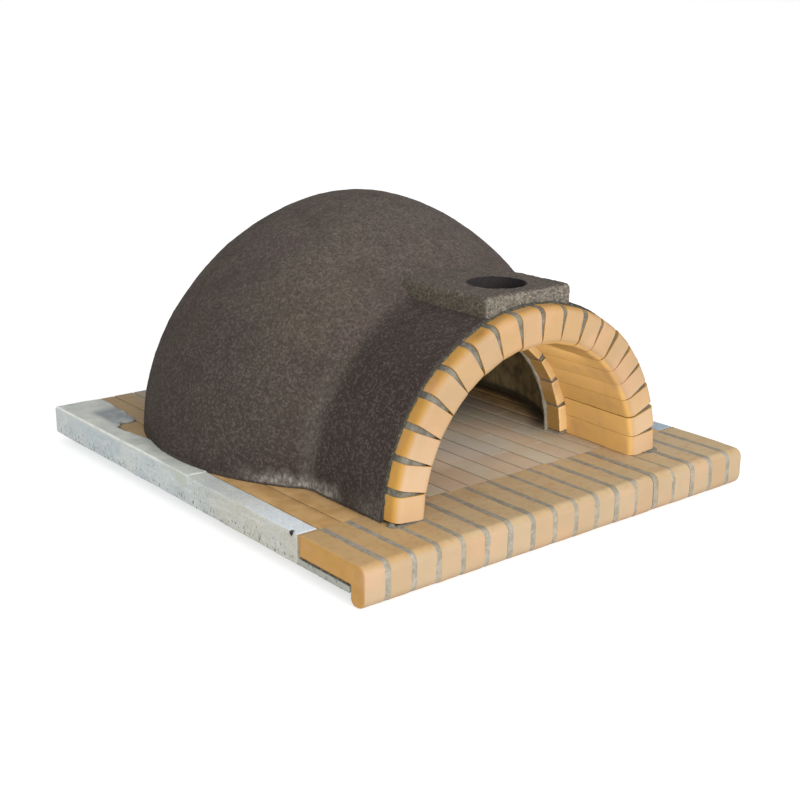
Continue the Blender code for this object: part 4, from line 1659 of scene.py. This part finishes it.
@dataclass
class DoorArch(BrickRing):
    """Narrow inner arch at the rear of the vestibule, with the bead of mortar on its rear edge."""

    edge: float = 2.0 * MM
    grain: float = 2.5 * MM
    bumps: Bumps = ((0.035, 1.8 * MM), (0.010, 0.9 * MM))
    bead: float = 4.6 * MM
    bead_bumps: Bumps = ((0.020, 3.0 * MM),)
    mortar_bumps: Bumps = ((0.008, 1.2 * MM),)
    grime_and_shade: float = 0.45
    seed: int = 53

    def bricks(self) -> None:
        """Cut one brick at the crown and turn its copies into the arch."""
        draw = random.Random(self.seed)
        half = self.turns[0].width(LINES.door_inner, self.joint_inside) / 2
        low = (-half, LINES.door_front, LINES.spring + LINES.door_inner)
        high = (half, LINES.door_rear, LINES.spring + LINES.arch_outer)
        master = add_block("door_master", low, high)
        round_edges(master, lambda a, b: True, self.edge, 2)
        even_mesh(master, self.grain)
        for index, turn in enumerate(self.turns):
            shift = Vector((0, abs(draw.gauss(0, 0.4)), draw.gauss(0, 1.2))) * MM
            lean = math.radians(draw.gauss(0, 0.25))
            place = about_spring(turn.angle + lean) @ Matrix.Translation(shift)
            copy = copy_of(master, f"door_firebrick_{index + 1:02d}", place)
            roughen(copy, self.bumps)
            paint(copy, "tone", draw.random())
            finish_piece(copy, self.firebrick, f"door_brick_{index + 1:02d}")
        discard(master)

    def mortar(self) -> None:
        """Point one joint, copy it round the arch, and run the bead along the rear edge."""
        wedge = self.wedge(self.turns[0])
        # The door's joints are painted evenly darker.
        paint(wedge, "grime_and_shade", self.grime_and_shade)
        parts = []
        for index, turn in enumerate(self.turns[:-1]):
            parts.append(copy_of(wedge, f"door_wedge_{index}", about_spring(turn.joint)))
        for side in (-1, 1):
            foot = copy_of(wedge, "door_foot", about_spring(side * math.pi / 2))
            slice_at(foot, (0, 0, LINES.spring - 0.2 * MM), (0, 0, 1), Keep.AHEAD)
            paint(foot, "grime_and_shade", 0.0)
            parts.append(foot)
        discard(wedge)
        place = (LINES.door_inner + MM, LINES.door_rear - 0.5 * MM, LINES.spring)
        section = {"vertices": 10, "radius": self.bead, "fill_type": "NGON"}
        bead = add_start("door_bead", "circle", location=place, **section)
        sweep(bead, 220)
        roughen(bead, self.bead_bumps)
        mortar = join([*parts, bead], "door_pointing")
        roughen(mortar, self.mortar_bumps)
        finish_piece(mortar, self.pointing, "door_mortar")


@dataclass
class Dome:
    """A round dome that bulges a little less than an ellipse, carried down below the floor."""

    radius: float
    height: float
    middle: float
    power: float = 1.83
    sides: int = 128
    skirt: float = 0.012

    def reach(self, across: float, up: float) -> float:
        """Distance from the dome's middle to its surface.

        Args:
            across: Level share of the direction.
            up: Upright share of the direction.

        Returns:
            The distance.
        """
        total = (across / self.radius) ** self.power + (max(up, 0.0) / self.height) ** self.power
        return total ** (-1 / self.power)

    def gap(self, point: Vector) -> float:
        """How far a point lies outside the dome, negative inside."""
        spoke = point - Vector((0, self.middle, LINES.spring))
        length = max(spoke.length, 1e-6)
        return length - self.reach(math.hypot(spoke.x, spoke.y) / length, spoke.z / length)

    def solid(self, name: str) -> Object:
        """Shape the dome from a ball.

        Args:
            name: The object's name.

        Returns:
            The dome as a closed shape.
        """
        rings = self.sides // 2
        dome = add_start(name, "uv_sphere", segments=self.sides, ring_count=rings, radius=1.0)
        slice_at(dome, (0, 0, 0), (0, 0, 1), Keep.AHEAD)
        origin = Vector((0, self.middle, LINES.spring))

        def blow(point: Vector) -> Vector:
            """Put a point of the ball onto the dome."""
            if point.length < 0.5:
                return origin.copy()
            return origin + point * self.reach(math.hypot(point.x, point.y), point.z)

        reshape(dome, blow)
        draw_out(dome, lambda c, n: n.z < -0.9, (0, 0, -self.skirt))
        return dome


@dataclass
class ChamberLining:
    """Refractory shell of the oven chamber, against the rear of the door arch."""

    finish: Material
    radius: float = 0.425
    height: float = 0.440
    wall: float = 0.045

    def dress(self) -> None:
        """Shape the shell, open it to the door arch and finish it."""
        middle = LINES.chamber_y
        shell = Dome(self.radius + self.wall, self.height + self.wall, middle).solid("chamber_lining")
        cut_away(shell, Dome(self.radius, self.height, middle, skirt=0.05).solid("hollow"))
        slice_at(shell, (0, 0, LINES.spring), (0, 0, 1), Keep.AHEAD)
        y_front = LINES.door_rear + 0.3 * MM
        slice_at(shell, (0, y_front, 0), (0, 1, 0), Keep.AHEAD)
        low = (0, y_front - 0.05, LINES.spring)
        cut_away(shell, add_drum("doorway", LINES.door_inner + MM, low, (0, middle, LINES.spring)))
        outward(shell)
        finish_piece(shell, self.finish, "dome_lining", 35.0)


@dataclass
class DomeRender:
    """Granular render over dome and vestibule in one soft form."""

    finish: Material
    radius: float = 0.510
    height: float = 0.545
    lining_radius: float = 0.4703
    lining_height: float = 0.4853
    grain: float = 5.1 * MM
    coarse: float = 9 * MM
    bumps: Bumps = ((0.120, 3.5 * MM), (0.030, 1.6 * MM), (0.0095, 1.1 * MM))
    crease: float = 0.022
    coat: float = 0.3798
    over: float = 0.02

    def form(self, name: str, grain: float) -> Object:
        """Model dome and vestibule as one filled form with a soft crease between them.

        Args:
            name: The object's name.
            grain: Size of its faces.

        Returns:
            The form, still uncut.
        """
        shape = Dome(self.radius, self.height, LINES.dome_y)
        dome = shape.solid(name)
        low = (0, LINES.render_front - self.over, LINES.spring)
        barrel = add_drum("barrel", LINES.render_mouth, low, (0, LINES.dome_y, LINES.spring), 128)
        slice_at(barrel, (0, 0, LINES.spring - shape.skirt), (0, 0, 1), Keep.AHEAD)
        form = join([dome, barrel], name)
        even_mesh(form, grain)

        def in_crease(point: Vector) -> bool:
            """Whether a point is close to both forms."""
            round_axis = math.hypot(point.x, point.z - LINES.spring) - LINES.render_mouth
            return point.y < LINES.dome_y and max(shape.gap(point), round_axis) < self.crease

        with editing(form, Pick.POINTS, in_crease):
            bpy.ops.mesh.vertices_smooth(factor=0.5, repeat=int(0.18 / grain))
        return form

    def crust(self, point: Vector) -> float:
        """How much pale lime crust there is at a point: at the foot, and up the crease."""
        lift = point.z - LINES.spring
        aside = abs(point.x)
        shape = Dome(self.radius, self.height, LINES.dome_y)
        round_axis = math.hypot(point.x, lift) - LINES.render_mouth
        ragged = noise.noise(Vector((point.x, point.y, 0)) / 0.03)
        near_crease = fade(max(shape.gap(point), round_axis), 0.024, 0.004)
        ahead = fade(point.y, -0.06, -0.19) * fade(point.y, -0.36, -0.29)
        wide = fade(aside, 0.34, 0.37)
        foot = fade(lift, 0.042 + 0.024 * ragged, 0.008) * ahead * wide
        low_front = 0.3 * fade(lift, 0.06 + 0.03 * ragged, 0.01) * fade(point.y, -0.34, -0.43)
        line = max(low_front, 0.3 * fade(lift, 0.010 + 0.005 * ragged, 0.002))
        climb = 0.15 * near_crease * fade(lift, 0.34, 0.05) * fade(point.y, -0.30, -0.25)
        crust = max(foot, line, climb) if point.y < LINES.dome_y else line
        return crust * fade(lift, 0.001, 0.006)

    def dress(self) -> None:
        """Model the render, hollow it out and finish it."""
        skin = self.form("dome_render", self.grain)
        roughen(skin, self.bumps)
        slice_at(skin, (0, 0, LINES.spring), (0, 0, 1), Keep.AHEAD)
        slice_at(skin, (0, LINES.render_front, 0), (0, 1, 0), Keep.AHEAD)
        hollow = Dome(self.lining_radius, self.lining_height, LINES.chamber_y, sides=64, skirt=0.03)
        cut_away(skin, hollow.solid("lining_space"), Solver.MANIFOLD)
        low = (0, LINES.render_front - self.over, LINES.spring)
        high = (0, LINES.door_rear + MM, LINES.spring)
        cut_away(skin, add_drum("coat_space", self.coat, low, high, 128), Solver.MANIFOLD)
        half = LINES.block_half - 2 * MM
        low = (-half, LINES.render_front - self.over, LINES.spring + LINES.arch_inner)
        high = (half, LINES.block_seat_rear - 2 * MM, LINES.block_top + self.over)
        cut_away(skin, add_block("seat", low, high), Solver.MANIFOLD)
        paint(skin, "crust", self.crust)
        finish_piece(skin, self.finish, "render_shell", 60.0)


@dataclass
class FlueBlock:
    """Cast block on the crown of the arch that the flue comes out of."""

    finish: Material
    render: DomeRender
    edge: float = 0.011
    grain: float = 2.8 * MM
    bumps: Bumps = ((0.045, 2.0 * MM), (0.009, 2.4 * MM))
    coat: float = 0.3798
    dig: float = 0.010
    sink: float = 3 * MM

    def dress(self) -> None:
        """Shape the block, seat it on arch and dome, bore the flue and finish it."""
        half = LINES.block_half
        low = (-half, LINES.render_front, LINES.spring + LINES.arch_inner)
        block = add_block("flue_block", low, (half, LINES.dome_y - 0.15, LINES.block_top))
        top, front = LINES.block_top - MM, LINES.render_front + MM
        round_edges(
            block,
            lambda a, b: min(a.z, b.z) > top or (max(a.y, b.y) < front and abs(a.z - b.z) > 0.01),
            self.edge,
            6,
        )
        even_mesh(block, self.grain)
        roughen(block, self.bumps)
        body = self.render.form("render_body", self.render.coarse)
        slice_at(body, (0, LINES.block_seat_rear, 0), (0, 1, 0), Keep.AHEAD)
        body.data.transform(Matrix.Translation((0, 0, -self.sink)))
        cut_away(block, body, Solver.MANIFOLD)
        low = (0, LINES.render_front - self.dig, LINES.spring)
        high = (0, LINES.door_rear + MM, LINES.spring)
        cut_away(block, add_drum("coat_space", self.coat, low, high, 128), Solver.MANIFOLD)
        cut_away(block, flue_bore(), Solver.MANIFOLD)
        finish_piece(block, self.finish, "chimney_block", 60.0)


@dataclass
class RimMortar:
    """Mortar trowelled over the left rim beside the dome, ragged at its edges."""

    finish: Material
    thickness: float = 0.005
    skirt: float = 0.006
    drip: float = 0.018
    proud: float = 0.0006
    grain: float = 2.6 * MM
    bumps: Bumps = ((0.070, 1.0 * MM), (0.010, 0.5 * MM))
    seed: int = 61
    # Outline on the floor, from the front left corner round by the dome to the rear
    outline: tuple[tuple[float, float], ...] = (
        (-0.5425, -0.0090),
        (-0.5150, -0.0115),
        (-0.4860, -0.0140),
        (-0.4700, 0.0300),
        (-0.4780, 0.1600),
        (-0.4860, 0.2480),
        (-0.4960, 0.3100),
        (-0.4985, 0.3740),
        (-0.4780, 0.3980),
        (-0.4560, 0.3960),
        (-0.4380, 0.4020),
        (-0.4330, 0.4600),
        (-0.4270, 0.5400),
        (-0.4250, 0.6060),
        (-0.4700, 0.6120),
        (-0.5425, 0.6100),
    )

    def inside(self, x: float, y: float) -> bool:
        """Whether a point of the floor is under the mortar."""
        found = False
        for (ax, ay), (bx, by) in zip(self.outline, (*self.outline[1:], self.outline[0])):
            if (ay > y) != (by > y) and x < ax + (bx - ax) * (y - ay) / (by - ay):
                found = not found
        return found

    def top(self, y: float) -> float:
        """Height of the mortar's face, which thins out towards the front."""
        return LINES.floor + self.thickness * (0.5 + 0.5 * fade(y, 0.0, 0.25))

    def sheet(self) -> Object:
        """Spread the sheet over the rim.

        Returns:
            The sheet with its thickness.
        """
        grid = {"x_subdivisions": 42, "y_subdivisions": 210, "size": 1.0}
        sheet = add_start("rim_mortar", "grid", **grid)
        low, high = Vector((-0.5435, -0.0145, 0)), Vector((-0.4195, 0.6135, 0))

        def lay(point: Vector) -> Vector:
            """Put a point of the grid over the rim, lower towards the front."""
            x = low.x + (high.x - low.x) * (point.x + 0.5)
            y = low.y + (high.y - low.y) * (point.y + 0.5)
            return Vector((x, y, self.top(y)))

        reshape(sheet, lay)
        noise.seed_set(self.seed)

        def outside(point: Vector) -> bool:
            """Whether a point lies off the ragged outline."""
            ragged = noise.noise_vector(point / 0.035) * 0.005
            ragged += noise.noise_vector(point / 0.012) * 0.002
            return not self.inside(point.x + ragged.x * (point.x > -0.53), point.y + ragged.y)

        with editing(sheet, Pick.POINTS, outside):
            bpy.ops.mesh.delete(type="VERT")
        modify(sheet, "SOLIDIFY", thickness=self.thickness + 2 * MM, offset=-1.0)
        return sheet

    def dress(self) -> None:
        """Spread the mortar, hang its skirt over the slab's edge and finish it."""
        sheet = self.sheet()
        low = (-LINES.half_width - self.proud, -0.0090, LINES.floor - self.skirt)
        high = (-LINES.half_width + 0.007, LINES.rear - 5 * MM, LINES.floor + self.thickness)
        skirt = add_block("skirt", low, high)
        left = -LINES.half_width
        round_edges(skirt, lambda a, b: max(a.x, b.x) < left and min(a.z, b.z) > LINES.floor, 0.003, 3)
        slice_even(skirt, {1: 8 * MM})
        lift = LINES.floor + self.thickness

        def hang(point: Vector) -> Vector:
            """Follow the sheet's face above, and hang lower at the front end."""
            rise = (self.top(point.y) - lift) * fade(point.z, LINES.floor, lift)
            drip = self.drip * fade(point.y, 0.05, 0.03) * fade(point.z, LINES.floor, low[2])
            return point + Vector((0, 0, rise - drip))

        reshape(skirt, hang)
        mortar = join([sheet, skirt], "rim_mortar")
        even_mesh(mortar, self.grain)
        with editing(mortar, Pick.POINTS):
            bpy.ops.mesh.vertices_smooth(factor=0.4, repeat=4)
        roughen(mortar, self.bumps)
        finish_piece(mortar, self.finish, "rim_smear", 60.0)


@dataclass
class Studio:
    """White floor, soft light from the front right and all round, and the camera."""

    lens: float = 60.4
    place: tuple[float, float, float] = (-1.88735, -2.34506, 1.03604)
    yaw: float = 39.455
    pitch: float = 16.77
    roll: float = 0.566
    floor_size: float = 900.0
    sky: float = 0.97
    light_size: float = 3.0
    light_distance: float = 5.0
    # Power, degrees to the right of the mouth's axis and degrees of lift of each soft box
    key: tuple[float, float, float] = (186.0, 2.0, 24.0)
    fill: tuple[float, float, float] = (124.0, -36.0, 13.0)
    # Power, width, place and direction of faint cards that the camera doesn't see: one in the
    # doorway for the chamber, one under the crown for the floor
    cards: ClassVar[dict[str, tuple[float, float, Sequence[float], Sequence[float]]]] = {
        "studio_chamber": (0.2, 0.22, (0.0, -0.29, 0.23), (0.0, 1.0, -0.15)),
        "studio_hearth": (0.36, 0.20, (0.14, -0.34, 0.30), (0.35, 0.1, -1.0)),
    }

    def floor(self) -> None:
        """Lay the floor under the nosing's lip."""
        place = (0, 0, LINES.ground - MM)
        floor = add_start("studio_floor", "plane", size=self.floor_size, location=place)
        floor.data.materials.append(StudioPaper().make())

    def soft_box(self, name: str, power: float, aside: float, lift: float) -> None:
        """Stand a round soft box in front of the oven.

        Args:
            name: The light's name.
            power: Its power in watts.
            aside: Degrees to the right of the mouth's axis.
            lift: Degrees above the floor.
        """
        turn, rise = math.radians(aside), math.radians(lift)
        level = math.cos(rise)
        towards = Vector((math.sin(turn) * level, -math.cos(turn) * level, math.sin(rise)))
        bpy.ops.object.light_add(type="AREA", location=towards * self.light_distance)
        box = bpy.context.object
        box.name = name
        box.data.shape = "DISK"
        box.data.size = self.light_size
        box.data.energy = power
        box.rotation_euler = (-towards).to_track_quat("-Z", "Y").to_euler()

    def light(self) -> None:
        """Set the even sky, key and fill, and the faint cards inside the mouth."""
        world = bpy.data.worlds.new("studio_sky")
        world.use_nodes = True
        world.node_tree.nodes["Background"].inputs["Color"].default_value = (1, 1, 1, 1)
        world.node_tree.nodes["Background"].inputs["Strength"].default_value = self.sky
        bpy.context.scene.world = world
        self.soft_box("studio_key", *self.key)
        self.soft_box("studio_fill", *self.fill)
        for name, (power, width, place, towards) in self.cards.items():
            bpy.ops.object.light_add(type="AREA", location=place)
            card = bpy.context.object
            card.name = name
            card.data.size = width
            card.data.energy = power
            card.rotation_euler = Vector(towards).to_track_quat("-Z", "Y").to_euler()
            card.visible_camera = False

    def camera(self) -> None:
        """Stand the camera where the photograph was taken from."""
        yaw, pitch, roll = (math.radians(a) for a in (self.yaw, self.pitch, self.roll))
        ahead = Vector(
            (math.sin(yaw) * math.cos(pitch), math.cos(yaw) * math.cos(pitch), -math.sin(pitch))
        )
        right = Vector((math.cos(yaw), -math.sin(yaw), 0))
        up = right.cross(ahead)
        level = math.cos(roll) * right + math.sin(roll) * up
        upright = math.cos(roll) * up - math.sin(roll) * right
        turn = Matrix((level, upright, -ahead)).transposed()
        bpy.ops.object.camera_add()
        camera = bpy.context.object
        camera.name = "studio_camera"
        camera.data.sensor_width = 36.0
        camera.data.lens = self.lens
        camera.matrix_world = Matrix.Translation(self.place) @ turn.to_4x4()
        bpy.context.scene.camera = camera
        bpy.context.scene.view_settings.view_transform = "Standard"

    def dress(self) -> None:
        """Set up floor, light and camera."""
        self.floor()
        self.light()
        self.camera()


def main() -> None:
    """Build and dress the oven from the slab up, then the studio round it."""
    logging.basicConfig(level=logging.INFO, format="%(name)s: %(message)s")
    pointing = CementMortar().make()
    firebrick = PressedFirebrick().make()
    nosing_brick = PressedFirebrick(
        name="fireclay_brick_soiled",
        body="#9F7B4C",
        deep="#8D6A3C",
        skin="#96856D",
        side="#A77D3D",
        soil_share=0.85,
    ).make()
    # The door's bricks get a much paler skin: painted light on their fronts, which stand in the
    # vestibule's shade.
    door_brick = PressedFirebrick(
        name="fireclay_brick_smoked", body="#8A6D3F", deep="#644E33", skin="#E6C18A", inner="#8F6E39"
    ).make()
    arch_pointing = CementMortar(
        name="cement_mortar_raked", body="#6A665B", dark="#514D44", pale="#807B6E", grime_and_shade="#33342D"
    ).make()
    bed_mortar = CementMortar(
        name="cement_mortar_dusty", body="#69635A", dark="#504B44", pale="#807A6E"
    ).make()
    BaseSlab(CastConcrete().make()).dress()
    NosingCourse(nosing_brick, pointing).dress()
    Hearth(HearthBrick().make(), bed_mortar).dress()
    FrontArch(firebrick, arch_pointing).dress()
    DoorArch(door_brick, pointing).dress()
    ChamberLining(SootedRefractory().make()).dress()
    render = DomeRender(GranularRender().make())
    render.dress()
    FlueBlock(CastAggregate().make(), render).dress()
    RimMortar(TrowelledMortar().make()).dress()
    Studio().dress()


if __name__ == "__main__":
    main()
